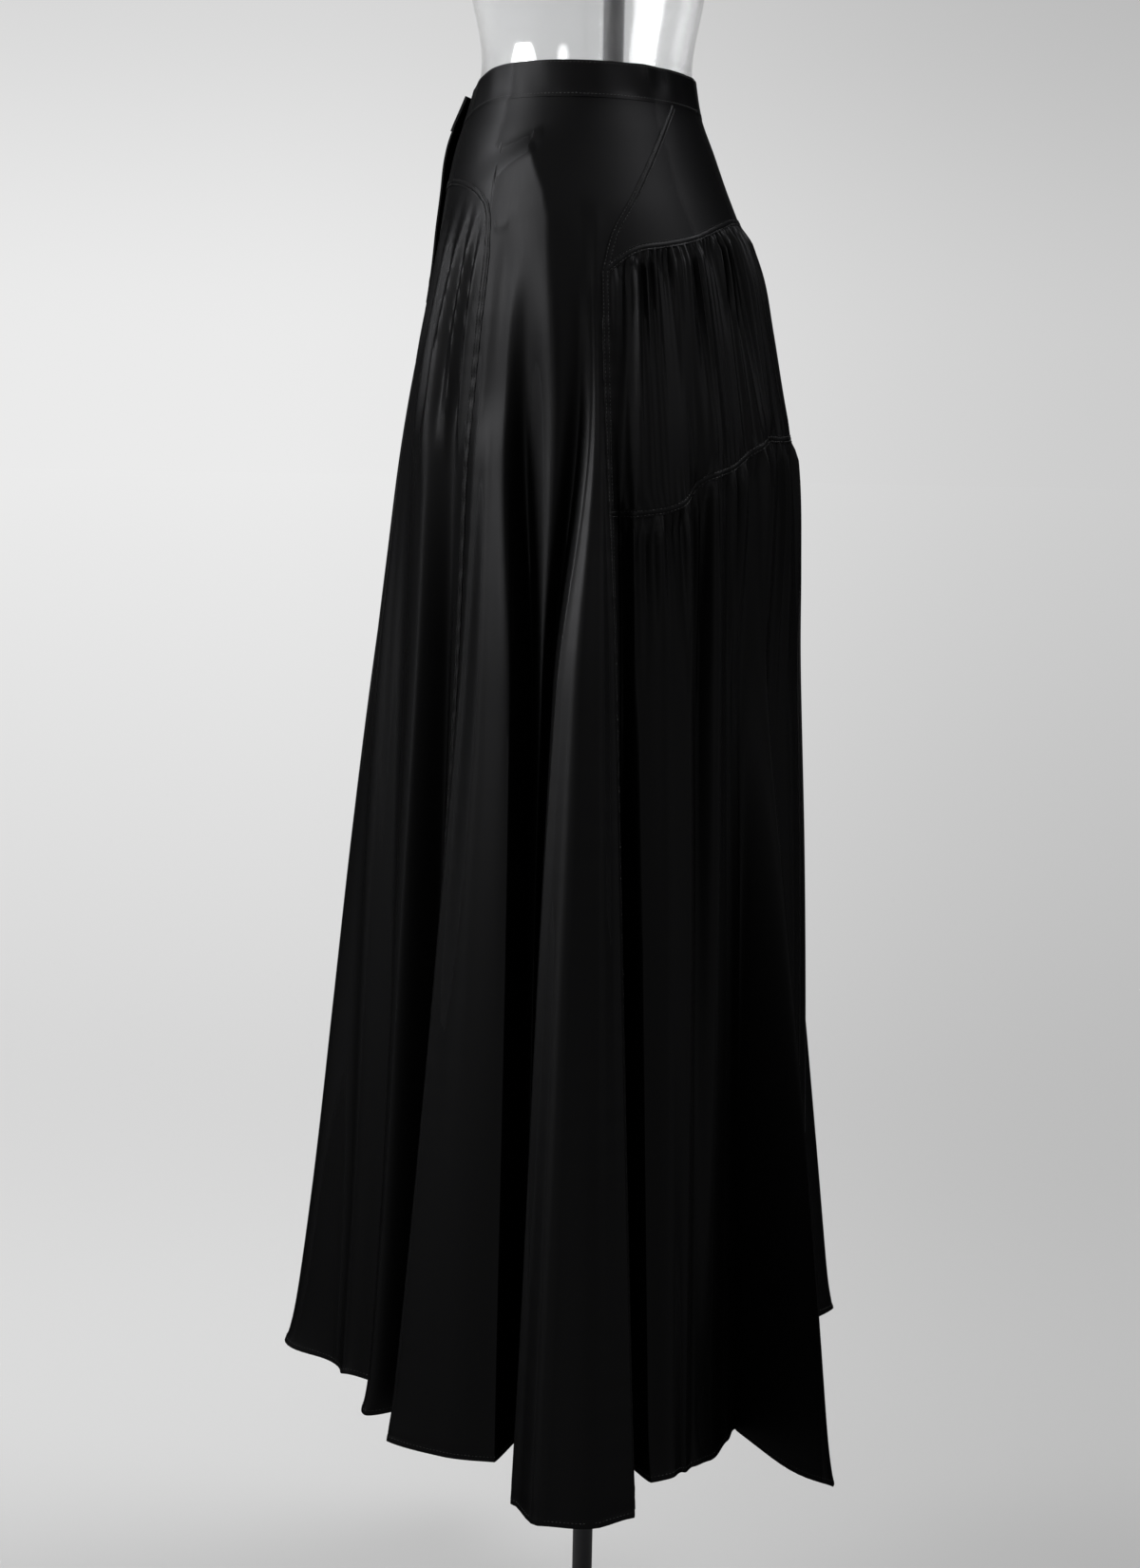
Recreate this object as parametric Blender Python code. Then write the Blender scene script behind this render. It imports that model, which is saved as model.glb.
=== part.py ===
"""Black button-front maxi skirt worn by a clear limbless torso form on a stand.

Metres, +Z up. The front faces -Y and the wearer's left side faces +X. The origin is
the centre of the stand's underside. Angles are in degrees round the body's axis:
0 is the centre front, 90 the wearer's left side and 180 the centre back.
"""

import math
from collections import namedtuple

import bmesh
import bpy
import numpy as np
from mathutils import Matrix

# Body axis and cloth
BODY_AXIS_Y = -0.022
CLOTH_THICKNESS = 0.0015
BAND_THICKNESS = 0.0022
SEAM_GAP = 0.0003

# Heights of the skirt's levels
WAIST_TOP = 1.244
WAIST_SEAM = 1.218
BAND_CLEARANCE = 0.0004
FOLD_START = 1.120
THIGH_LEVEL = 0.980
KNEE_LEVEL = 0.800
HEM_LEVEL = 0.260
HEM_TOP = 0.251

# The waist dips to the centre front by this much, between these angles
FRONT_DIP = 0.012
DIP_END = 64.0
DIP_FULL = 14.0

Section = namedtuple("Section", "height front back side")

# Half depths in front of and behind the axis, and half width, of the skirt's outside
SKIRT_SECTIONS = (
    Section(1.260, 0.0770, 0.0820, 0.1150),
    Section(1.244, 0.0795, 0.0845, 0.1175),
    Section(1.218, 0.0860, 0.0895, 0.1225),
    Section(1.192, 0.0945, 0.0995, 0.1300),
    Section(1.163, 0.1005, 0.1105, 0.1390),
    Section(1.139, 0.1040, 0.1205, 0.1460),
    Section(1.104, 0.1092, 0.1350, 0.1530),
    Section(1.060, 0.1178, 0.1450, 0.1600),
    Section(1.016, 0.1262, 0.1540, 0.1640),
    Section(0.972, 0.1335, 0.1635, 0.1680),
    Section(0.883, 0.1450, 0.1726, 0.1740),
    Section(0.795, 0.1560, 0.1770, 0.1800),
    Section(0.663, 0.1700, 0.1840, 0.1920),
    Section(0.530, 0.1820, 0.1890, 0.2040),
    Section(0.398, 0.1940, 0.1926, 0.2160),
    Section(0.240, 0.2120, 0.1980, 0.2300),
)

# The same for the clear torso form
FORM_SECTIONS = (
    Section(1.015, 0.1030, 0.1310, 0.1450),
    Section(1.060, 0.1060, 0.1350, 0.1480),
    Section(1.104, 0.1030, 0.1300, 0.1470),
    Section(1.163, 0.0960, 0.1050, 0.1330),
    Section(1.192, 0.0900, 0.0945, 0.1260),
    Section(1.218, 0.0834, 0.0869, 0.1199),
    Section(1.244, 0.0769, 0.0819, 0.1149),
    Section(1.310, 0.0860, 0.0900, 0.1220),
    Section(1.400, 0.1080, 0.0980, 0.1420),
    Section(1.490, 0.1030, 0.0990, 0.1600),
    Section(1.560, 0.0820, 0.0840, 0.1480),
    Section(1.600, 0.0640, 0.0640, 0.0950),
    Section(1.625, 0.0560, 0.0560, 0.0600),
    Section(1.660, 0.0540, 0.0540, 0.0560),
)

Fold = namedtuple(
    "Fold",
    "hip_angle thigh_angle thigh_radius knee_angle knee_radius hem_angle hem_radius hem_height",
)

# Ridges and hollows of the wearer's left half, from the centre front to the centre back.
# A fold hangs from hip_angle; the cloth runs smoothly from each row to the next.
FOLDS = (
    Fold(0.0, 0.0, 0.1325, 0.0, 0.1565, 1.0, 0.2160, 0.249),
    Fold(15.0, 14.0, 0.1330, 14.0, 0.1510, 17.0, 0.1750, 0.246),
    Fold(31.0, 30.0, 0.1340, 29.5, 0.1410, 27.5, 0.1500, 0.242),
    Fold(49.0, 47.4, 0.1470, 46.0, 0.1530, 41.0, 0.1770, 0.236),
    Fold(58.5, 56.0, 0.1400, 51.5, 0.1320, 48.5, 0.1360, 0.236),
    Fold(67.4, 63.0, 0.1480, 59.5, 0.1460, 51.5, 0.1610, 0.235),
    Fold(71.0, 68.5, 0.1560, 65.6, 0.1620, 55.5, 0.1940, 0.234),
    Fold(73.7, 72.5, 0.1590, 74.0, 0.1770, 69.0, 0.1930, 0.233),
    Fold(76.5, 76.0, 0.1610, 81.0, 0.1840, 81.0, 0.1900, 0.232),
    Fold(81.5, 81.0, 0.1500, 84.3, 0.1530, 83.6, 0.1420, 0.230),
    Fold(88.5, 90.0, 0.1690, 88.0, 0.1760, 84.9, 0.1470, 0.229),
    Fold(94.0, 95.0, 0.1600, 89.9, 0.1660, 86.0, 0.1520, 0.228),
    Fold(97.5, 98.3, 0.1690, 92.0, 0.2000, 87.6, 0.2410, 0.226),
    Fold(98.4, 99.3, 0.1715, 96.0, 0.2100, 92.5, 0.2700, 0.224),
    Fold(99.5, 100.5, 0.1720, 100.5, 0.2070, 100.0, 0.2750, 0.224),
    Fold(100.6, 101.8, 0.1705, 103.7, 0.1950, 106.6, 0.2650, 0.226),
    Fold(104.8, 105.6, 0.1620, 107.3, 0.1660, 109.6, 0.1740, 0.232),
    Fold(108.8, 109.3, 0.1710, 110.8, 0.1790, 112.2, 0.2230, 0.233),
    Fold(114.0, 115.0, 0.1710, 117.0, 0.1840, 116.5, 0.2280, 0.233),
    Fold(119.5, 120.5, 0.1720, 122.0, 0.1850, 119.8, 0.2200, 0.234),
    Fold(124.5, 125.5, 0.1660, 127.0, 0.1670, 122.8, 0.2120, 0.235),
    Fold(130.0, 130.5, 0.1720, 131.0, 0.1810, 126.8, 0.2070, 0.236),
    Fold(136.0, 136.0, 0.1680, 136.5, 0.1710, 134.0, 0.1980, 0.238),
    Fold(141.0, 141.0, 0.1670, 141.5, 0.1690, 140.5, 0.1870, 0.238),
    Fold(147.5, 147.0, 0.1730, 146.5, 0.1820, 137.7, 0.2870, 0.232),
    Fold(152.5, 152.0, 0.1680, 151.8, 0.1720, 146.5, 0.1940, 0.238),
    Fold(159.5, 159.0, 0.1610, 158.0, 0.1610, 156.0, 0.1540, 0.244),
    Fold(169.0, 169.0, 0.1650, 169.0, 0.1750, 170.0, 0.1900, 0.248),
    Fold(180.0, 180.0, 0.1627, 180.0, 0.1767, 180.0, 0.1970, 0.249),
)
# The hidden right half has the same folds, swayed by up to this much
RIGHT_SWAY_DEGREES = 2.2
RIGHT_SWAY_RADIUS = 0.035

SeamPoint = namedtuple("SeamPoint", "angle height")

# Curved front seam, from the centre front to the top of the side front seam
FRONT_SEAM = (
    SeamPoint(0.0, 1.161),
    SeamPoint(45.0, 1.161),
    SeamPoint(51.3, 1.1585),
    SeamPoint(58.9, 1.1525),
    SeamPoint(63.0, 1.146),
    SeamPoint(65.8, 1.137),
    SeamPoint(67.0, 1.123),
    SeamPoint(67.4, 1.105),
)
# Diagonal seam of the back yoke, from the waist down to the yoke's corner
YOKE_SEAM = (
    SeamPoint(134.7, 1.218),
    SeamPoint(126.0, 1.199),
    SeamPoint(117.5, 1.173),
    SeamPoint(110.0, 1.145),
    SeamPoint(104.5, 1.122),
    SeamPoint(101.5, 1.095),
)
# Gathered seam under the yoke, and the seam between the tiers, to the centre back
GATHER_SEAM = (
    SeamPoint(101.5, 1.095),
    SeamPoint(108.8, 1.109),
    SeamPoint(120.4, 1.116),
    SeamPoint(129.9, 1.121),
    SeamPoint(142.4, 1.130),
    SeamPoint(159.0, 1.138),
    SeamPoint(180.0, 1.140),
)
TIER_SEAM = (
    SeamPoint(101.5, 0.9255),
    SeamPoint(110.0, 0.9265),
    SeamPoint(118.0, 0.9320),
    SeamPoint(128.0, 0.9525),
    SeamPoint(137.0, 0.9595),
    SeamPoint(148.0, 0.9770),
    SeamPoint(165.0, 0.9800),
    SeamPoint(180.0, 0.9810),
)

# Gathers of the back tiers, in waves from corner to corner
GATHERS = 30
COLUMNS_PER_GATHER = 4
UPPER_GATHER_DEPTH = 0.0028
LOWER_GATHER_DEPTH = 0.0034
GATHER_RISE = 0.035

# Front overlap: the placket and the waistband's lapping end, right over left
LAP_START = -35.0
LAP_ROOT = -13.0
LAP_END = 6.0
UNDERLAP_START = -11.25
LAP_GAP = 0.0009
PLACKET_FOOT = 1.078
Stand = namedtuple("Stand", "height stand_off")
LAP_STANDS = (
    Stand(1.078, 0.0022),
    Stand(1.103, 0.0036),
    Stand(1.135, 0.0052),
    Stand(1.160, 0.0058),
    Stand(1.184, 0.0078),
    Stand(1.206, 0.0084),
    Stand(1.232, 0.0048),
)

# Mesh columns and rows
INSET_COLUMNS = (0, 5, 10, 15, 20.5, 26, 31, 37, 43, 49, 52.5, 55.5, 58.5, 61.5, 64, 66.2, 67.4)
SIDE_COLUMNS = (
    67.4, 68.6, 69.8, 71, 72.4, 73.7, 75.1, 76.5, 78.2, 79.8, 81.5, 83.8, 86.2, 88.5,
    91.2, 94, 95.2, 96.4, 97.5, 98.4, 99.5, 100.6, 101.5,
)
YOKE_COLUMNS = 30
DROPS_UPPER = (0.0, 0.15, 0.38, 0.72, 1.0)
DROPS_LOWER = (0.0, 0.06, 0.17, 0.32, 0.49, 0.66, 0.83, 1.0)

# Buttons
BUTTON_RADIUS = 0.0075
BUTTON_THICKNESS = 0.0030
BUTTON_RIM = 0.0008
BUTTON_BEVEL = 0.0003
BUTTON_SEAT = 0.0006
BUTTON_ANGLE = -7.5
BAND_BUTTON_HEIGHT = 1.219
PLACKET_BUTTON_HEIGHTS = (1.188, 1.157, 1.127, 1.096)
FRONT_RADIUS = 0.09

# Torso form and stand
FORM_THICKNESS = 0.003
FORM_COLUMNS = 32
POLE_RADIUS = 0.008
POLE_BOTTOM = 0.0083
FLANGE_RADIUS = 0.026
FLANGE_THICKNESS = 0.004
SPIGOT_RADIUS = 0.006
SPIGOT_CLEARANCE = 0.001
CAP_RADIUS = 0.050
CAP_THICKNESS = 0.012
CAP_EDGE = 0.003
BASE_RADIUS = 0.125
BASE_THICKNESS = 0.008
BASE_EDGE = 0.002
COLLAR_RADIUS = 0.022
COLLAR_TOP = 0.045
COLLAR_EDGE = 0.003


def ease(share):
    """Smooth step from 0 to 1."""
    share = np.clip(share, 0.0, 1.0)
    return share * share * (3.0 - 2.0 * share)


def waist_dip(angle):
    """How far the waist dips at an angle near the centre front."""
    side = 180.0 - np.abs(180.0 - np.mod(angle, 360.0))
    return FRONT_DIP * ease((DIP_END - side) / (DIP_END - DIP_FULL))


def smooth_curve(at, places, values):
    """Smooth cubic through the values; values may have a row of numbers for each place."""
    places = np.asarray(places, float)
    values = np.asarray(values, float)
    at = np.clip(np.asarray(at, float), places[0], places[-1])
    slopes = np.gradient(values, places, axis=-1)
    slopes[..., 0] = (values[..., 1] - values[..., 0]) / (places[1] - places[0])
    slopes[..., -1] = (values[..., -1] - values[..., -2]) / (places[-1] - places[-2])
    left = np.clip(np.searchsorted(places, at, side="right") - 1, 0, len(places) - 2)
    width = places[left + 1] - places[left]
    t = (at - places[left]) / width
    start = values[..., left]
    end = values[..., left + 1]
    return (
        (2 * t**3 - 3 * t**2 + 1) * start
        + (t**3 - 2 * t**2 + t) * width * slopes[..., left]
        + (3 * t**2 - 2 * t**3) * end
        + (t**3 - t**2) * width * slopes[..., left + 1]
    )


def seam_height(seam, angle):
    """Height of a seam at an angle, the same on both sides of the body."""
    rows = sorted(seam)
    places = [row.angle for row in rows]
    heights = [row.height for row in rows]
    folded = 180.0 - np.abs(180.0 - np.mod(angle, 360.0))
    return smooth_curve(folded, places, heights)


def oval_radius(sections, angle, height):
    """Radius of the sections' oval at an angle and a height."""
    rows = sorted(sections)
    places = [row.height for row in rows]
    front = smooth_curve(height, places, [row.front for row in rows])
    back = smooth_curve(height, places, [row.back for row in rows])
    side = smooth_curve(height, places, [row.side for row in rows])
    turn = np.radians(angle)
    depth = np.where(np.cos(turn) > 0, front, back)
    return 1.0 / np.sqrt((np.sin(turn) / side) ** 2 + (np.cos(turn) / depth) ** 2)


def mirrored_fold(fold):
    """The fold on the right half that matches one on the left, a little changed."""
    phase = math.radians(fold.hip_angle * 3.1)
    fade = math.sin(math.radians(fold.hip_angle))
    turn = RIGHT_SWAY_DEGREES * math.sin(phase + 0.7) * fade
    scale = 1.0 + RIGHT_SWAY_RADIUS * math.sin(phase * 1.6) * fade
    return Fold(
        360.0 - fold.hip_angle,
        360.0 - fold.thigh_angle,
        fold.thigh_radius,
        360.0 - fold.knee_angle - 0.5 * turn,
        fold.knee_radius * (1.0 + 0.4 * (scale - 1.0)),
        360.0 - fold.hem_angle - turn,
        fold.hem_radius * scale,
        fold.hem_height,
    )


def fold_rows():
    """Folds all round, with one row past each end so that the ring closes."""
    right = [mirrored_fold(fold) for fold in FOLDS[1:-1]][::-1]
    ring = list(FOLDS) + right
    before = ring[-1]
    turned = [value - 360.0 if i in (0, 1, 3, 5) else value for i, value in enumerate(before)]
    after = [
        [value + 360.0 if i in (0, 1, 3, 5) else value for i, value in enumerate(row)]
        for row in ring[:3]
    ]
    return np.array([turned] + [list(row) for row in ring] + after)


RING = fold_rows()
LEVELS = (HEM_LEVEL, KNEE_LEVEL, THIGH_LEVEL, FOLD_START)


def fold_offsets():
    """Each fold's distance outside the oval at the four levels."""
    hips = RING[:, 0]
    angles = np.stack([RING[:, 5], RING[:, 3], RING[:, 1], hips], axis=1)
    radii = np.stack([RING[:, 6], RING[:, 4], RING[:, 2]], axis=1)
    offsets = np.zeros_like(angles)
    for level in range(3):
        oval = oval_radius(SKIRT_SECTIONS, angles[:, level], LEVELS[level])
        offsets[:, level] = radii[:, level] - oval
    return hips, angles, offsets


HIPS, FOLD_ANGLES, FOLD_OFFSETS = fold_offsets()


def level_curve(values, height):
    """Value at a height between the levels: still at the top, straight below the hem."""
    slopes = np.empty_like(values)
    for level in (1, 2):
        span = LEVELS[level + 1] - LEVELS[level - 1]
        slopes[:, level] = (values[:, level + 1] - values[:, level - 1]) / span
    slopes[:, 0] = (values[:, 1] - values[:, 0]) / (LEVELS[1] - LEVELS[0])
    slopes[:, 3] = 0.0
    places = np.asarray(LEVELS)
    left = np.clip(np.searchsorted(places, height, side="right") - 1, 0, 2)
    width = places[left + 1] - places[left]
    t = (np.minimum(height, FOLD_START) - places[left]) / width
    row = np.arange(len(values))
    inside = (
        (2 * t**3 - 3 * t**2 + 1) * values[row, left]
        + (t**3 - 2 * t**2 + t) * width * slopes[row, left]
        + (3 * t**2 - 2 * t**3) * values[row, left + 1]
        + (t**3 - t**2) * width * slopes[row, left + 1]
    )
    below = values[:, 0] + slopes[:, 0] * (height - LEVELS[0])
    return np.where(height < LEVELS[0], below, inside)


def between_folds(hip_angle):
    """Row before a hip angle, the share of the way to the next row, and that share eased."""
    row = np.clip(np.searchsorted(HIPS, hip_angle, side="right") - 1, 0, len(HIPS) - 2)
    share = (hip_angle - HIPS[row]) / (HIPS[row + 1] - HIPS[row])
    return row, share, ease(share)


def hem_height(hip_angle):
    """Height of the hem where the cloth hangs from a hip angle."""
    row, _, eased = between_folds(hip_angle)
    return RING[row, 7] + (RING[row + 1, 7] - RING[row, 7]) * eased


def drape(hip_angle, height, outward=0.0):
    """Points of the skirt's outside, pushed outward by a further distance."""
    hip_angle, height = np.broadcast_arrays(
        np.asarray(hip_angle, float), np.asarray(height, float)
    )
    row, share, eased = between_folds(hip_angle)
    angle = level_curve(FOLD_ANGLES[row.ravel()], height.ravel()).reshape(row.shape)
    angle_next = level_curve(FOLD_ANGLES[row.ravel() + 1], height.ravel()).reshape(row.shape)
    offset = level_curve(FOLD_OFFSETS[row.ravel()], height.ravel()).reshape(row.shape)
    offset_next = level_curve(FOLD_OFFSETS[row.ravel() + 1], height.ravel()).reshape(row.shape)
    turn = angle + (angle_next - angle) * share
    turn = np.where(height >= FOLD_START, hip_angle, turn)
    push = np.where(height >= FOLD_START, 0.0, offset + (offset_next - offset) * eased)
    radius = oval_radius(SKIRT_SECTIONS, turn, height) + push + outward
    return ring_point(turn, radius, height)


def ring_point(angle, radius, height):
    """Point at an angle, a radius from the body's axis and a height."""
    turn = np.radians(angle)
    x = radius * np.sin(turn)
    y = BODY_AXIS_Y - radius * np.cos(turn)
    return np.stack([x, y, np.broadcast_to(height, np.shape(x))], axis=-1)


def gather_wave(hip_angle):
    """Wave of the gathers across the back, from -1 to 1, of uneven widths."""
    start = YOKE_SEAM[-1].angle
    share = (hip_angle - start) / (360.0 - 2.0 * start)
    uneven = 0.008 * np.sin(share * 41.0) * share * (1.0 - share)
    corners = ease(share * GATHERS / 1.5) * ease((1.0 - share) * GATHERS / 1.5)
    return corners * np.sin(2.0 * math.pi * GATHERS * (share + uneven))


def upper_tier(hip_angle, height):
    """Upper tier: gathers rise under the yoke and die out at the tier seam."""
    below_yoke = seam_height(GATHER_SEAM, hip_angle) - height
    above_tier = height - seam_height(TIER_SEAM, hip_angle)
    depth = UPPER_GATHER_DEPTH * ease(below_yoke / GATHER_RISE) * ease(above_tier / GATHER_RISE)
    return drape(hip_angle, height, depth * gather_wave(hip_angle))


def lower_tier(hip_angle, height):
    """Lower tier: gathers rise under the tier seam and fade into the large folds."""
    below = seam_height(TIER_SEAM, hip_angle) - height
    fade = 1.0 - 0.85 * ease(below / (THIGH_LEVEL - HEM_LEVEL))
    depth = LOWER_GATHER_DEPTH * ease(below / GATHER_RISE) * fade
    return drape(hip_angle, height, depth * gather_wave(hip_angle))


def lap_push(angle, height):
    """How far the front overlap stands off the skirt at an angle past the left front."""
    places = [row.height for row in LAP_STANDS]
    stand = smooth_curve(height, places, [row.stand_off for row in LAP_STANDS])
    root = CLOTH_THICKNESS + LAP_GAP
    clear = root * ease((angle - LAP_START) / (LAP_ROOT - LAP_START))
    share = np.clip((angle - LAP_ROOT) / (LAP_END - LAP_ROOT), 0.0, 1.0)
    return clear + (stand - root) * share**1.6


def placket_surface(angle, height):
    """Outside of the placket."""
    return drape(angle, height, lap_push(angle, height))


def band_surface(angle, height):
    """Outside of the waistband, whose turn past 360 degrees laps over its start."""
    past = np.asarray(angle, float) - 360.0
    layer = BAND_THICKNESS - CLOTH_THICKNESS
    rise = layer * ease((past - LAP_START) / (UNDERLAP_START - LAP_START))
    push = np.where(past > LAP_START, lap_push(past, height) + rise, 0.0)
    return drape(np.mod(angle, 360.0), height, push)


def unit(vectors):
    """Vectors of length 1."""
    return vectors / np.linalg.norm(vectors, axis=-1, keepdims=True)


def surface_normals(surface, angles, heights):
    """Unit normals of a surface of angle and height, pointing out."""
    turn_step = 0.6
    drop_step = 0.002
    along = surface(angles + turn_step, heights) - surface(angles - turn_step, heights)
    up = surface(angles, heights + drop_step) - surface(angles, heights - drop_step)
    return unit(np.cross(along, up))


def mesh_normals(points, triangles):
    """Unit normals at a mesh's points: each face counts by its angle at the point."""
    faces = np.array(triangles)
    corners = points[faces]
    face_normals = unit(np.cross(corners[:, 1] - corners[:, 0], corners[:, 2] - corners[:, 0]))
    normals = np.zeros_like(points)
    for corner in range(3):
        ahead = unit(corners[:, (corner + 1) % 3] - corners[:, corner])
        behind = unit(corners[:, (corner + 2) % 3] - corners[:, corner])
        angle = np.arccos(np.clip(np.sum(ahead * behind, axis=1), -1.0, 1.0))
        np.add.at(normals, faces[:, corner], face_normals * angle[:, None])
    return unit(normals)


def triangles_of(patches):
    """Joins grids of (angle, height) along the points that they share."""
    index = {}
    places = []
    triangles = []
    for patch in patches:
        numbers = []
        for row in patch:
            line = []
            for angle, height in row:
                key = (round(float(angle), 4), round(float(height), 6))
                if key not in index:
                    index[key] = len(places)
                    places.append((float(angle), float(height)))
                line.append(index[key])
            numbers.append(line)
        for above, below in zip(numbers, numbers[1:]):
            for i in range(len(above) - 1):
                triangles.append([above[i], below[i], below[i + 1]])
                triangles.append([above[i], below[i + 1], above[i + 1]])
    return np.array(places), triangles


def open_edges(faces):
    """Directed edges that only one face has."""
    edges = {(a, b) for face in faces for a, b in zip(face, face[1:] + face[:1])}
    return [(a, b) for a, b in edges if (b, a) not in edges]


def cloth_piece(name, patches, surface, material, thickness=CLOTH_THICKNESS):
    """Closed wall of cloth: outside, inside and cut edges, half a seam gap in from them."""
    places, triangles = triangles_of(patches)
    outside = surface(places[:, 0], places[:, 1])
    edges = sorted(open_edges(triangles))
    ends = (places[:, 0].min(), places[:, 0].max())
    border = [
        point
        for point in sorted({point for edge in edges for point in edge})
        if places[point, 1] > HEM_TOP or places[point, 0] in ends
    ]
    normals = mesh_normals(outside, triangles)
    normals[border] = surface_normals(surface, places[border, 0], places[border, 1])
    pull = np.zeros_like(outside)
    for a, b in edges:
        inward = unit(np.cross(normals[a] + normals[b], outside[b] - outside[a]))
        pull[a] += inward
        pull[b] += inward
    length = np.linalg.norm(pull, axis=1, keepdims=True)
    pull = np.divide(pull, length, out=np.zeros_like(pull), where=length > 0)
    outside = outside + pull * SEAM_GAP / 2.0
    inside = outside - normals * thickness
    count = len(outside)
    faces = [tuple(face) for face in triangles]
    faces += [tuple(corner + count for corner in reversed(face)) for face in triangles]
    for a, b in edges:
        if (places[a, 1], -places[a, 0]) > (places[b, 1], -places[b, 0]):
            faces += [(b, a, a + count), (b, a + count, b + count)]
        else:
            faces += [(b, a, b + count), (a, a + count, b + count)]
    return add_object(name, np.vstack([outside, inside]), faces, material)


def add_object(name, points, faces, material):
    """Smooth-shaded mesh object in the scene."""
    mesh = bpy.data.meshes.new(name)
    mesh.from_pydata([tuple(map(float, point)) for point in points], [], faces)
    mesh.update()
    mesh.shade_smooth()
    mesh.set_sharp_from_angle(angle=math.radians(40.0))
    mesh.materials.append(material)
    made = bpy.data.objects.new(name, mesh)
    bpy.context.scene.collection.objects.link(made)
    return made


def side_rows():
    """Heights of the side panel's rows under the yoke's corner, as shares of the drop."""
    top = YOKE_SEAM[-1].height
    hem = float(hem_height(YOKE_SEAM[-1].angle))
    tier = (top - TIER_SEAM[0].height) / (top - hem)
    upper = [tier * share for share in DROPS_UPPER]
    lower = [tier + (1.0 - tier) * share for share in DROPS_LOWER[1:]]
    return upper + lower


def turned_grid(patch):
    """The same grid on the right half: angles count back from 360."""
    return [[(360.0 - angle, height) for angle, height in reversed(row)] for row in patch]


def yoke_front_grid():
    """Front yoke: from the waist seam down to the curved seam."""
    rows = []
    for share in np.linspace(0.0, 1.0, len(YOKE_SEAM)):
        rows.append([])
        for angle in INSET_COLUMNS:
            top = WAIST_SEAM - float(waist_dip(angle))
            foot = float(seam_height(FRONT_SEAM, angle))
            rows[-1].append((angle, top + share * (foot - top)))
    return rows


def side_grid():
    """Side of the panel: the hip beside the diagonal seam, then down to the hem."""
    start = SIDE_COLUMNS[0]
    end = SIDE_COLUMNS[-1]
    shares = [(column - start) / (end - start) for column in SIDE_COLUMNS]
    low_front = FRONT_SEAM[-1].height
    rows = []
    for number, point in enumerate(YOKE_SEAM):
        down = number / (len(YOKE_SEAM) - 1)
        front_height = WAIST_SEAM + down * (low_front - WAIST_SEAM)
        spread = [(1.0 - down) * (i / (len(shares) - 1)) + down * s for i, s in enumerate(shares)]
        rows.append(
            [
                (start + s * (point.angle - start), front_height + s * (point.height - front_height))
                for s in spread
            ]
        )
    corner = rows[-1]
    for drop in side_rows()[1:]:
        rows.append(
            [
                (column, top + drop * (float(hem_height(column)) - top))
                for column, (_, top) in zip(SIDE_COLUMNS, corner)
            ]
        )
    return rows


def inset_grid():
    """Front inset: from the curved seam down to the hem, on the side panel's rows."""
    rows = []
    for drop in side_rows():
        rows.append([])
        for angle in INSET_COLUMNS:
            top = float(seam_height(FRONT_SEAM, angle))
            rows[-1].append((angle, top + drop * (float(hem_height(angle)) - top)))
    return rows


def back_yoke_grid():
    """Back yoke: between the diagonal seams, from the waist to the gathered seam."""
    corner = YOKE_SEAM[-1]
    rows = []
    for number, point in enumerate(YOKE_SEAM):
        down = number / (len(YOKE_SEAM) - 1)
        row = []
        for column in range(YOKE_COLUMNS + 1):
            share = column / YOKE_COLUMNS
            angle = point.angle + share * (360.0 - 2.0 * point.angle)
            low_angle = corner.angle + share * (360.0 - 2.0 * corner.angle)
            low = float(seam_height(GATHER_SEAM, low_angle))
            sag = down * down * (low - corner.height)
            row.append((angle, point.height + sag))
        rows.append(row)
    return rows


def tier_grid(top_seam, bottom, drops):
    """One gathered tier across the back, from a seam to a lower line."""
    start = YOKE_SEAM[-1].angle
    columns = GATHERS * COLUMNS_PER_GATHER
    angles = np.linspace(start, 360.0 - start, columns + 1)
    yoke_angles = angles[:: columns // YOKE_COLUMNS]
    tops = np.interp(angles, yoke_angles, seam_height(top_seam, yoke_angles))
    lows = bottom(angles)
    return [list(zip(angles, tops + drop * (lows - tops))) for drop in drops]


def tier_seam_height(angles):
    """Height of the seam between the tiers, straight between the yoke's columns."""
    start = YOKE_SEAM[-1].angle
    places = np.linspace(start, 360.0 - start, YOKE_COLUMNS + 1)
    return np.interp(angles, places, seam_height(TIER_SEAM, places))


def band_grid():
    """Waistband, from the underlap at the centre front round to the lapping end."""
    round_body = np.linspace(UNDERLAP_START, 360.0 + UNDERLAP_START, FORM_COLUMNS + 1)
    lap = np.linspace(360.0 + UNDERLAP_START, 360.0 + LAP_END, 4)
    angles = np.concatenate([round_body, lap[1:]])
    heights = (WAIST_TOP, WAIST_SEAM + BAND_CLEARANCE)
    return [[(angle, height - float(waist_dip(angle))) for angle in angles] for height in heights]


def placket_grid():
    """Placket, from its root on the right front to its free edge."""
    angles = np.linspace(LAP_ROOT, LAP_END, 9)
    heights = np.linspace(WAIST_SEAM - FRONT_DIP, PLACKET_FOOT, 10)
    return [[(angle, height) for angle in angles] for height in heights]


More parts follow.
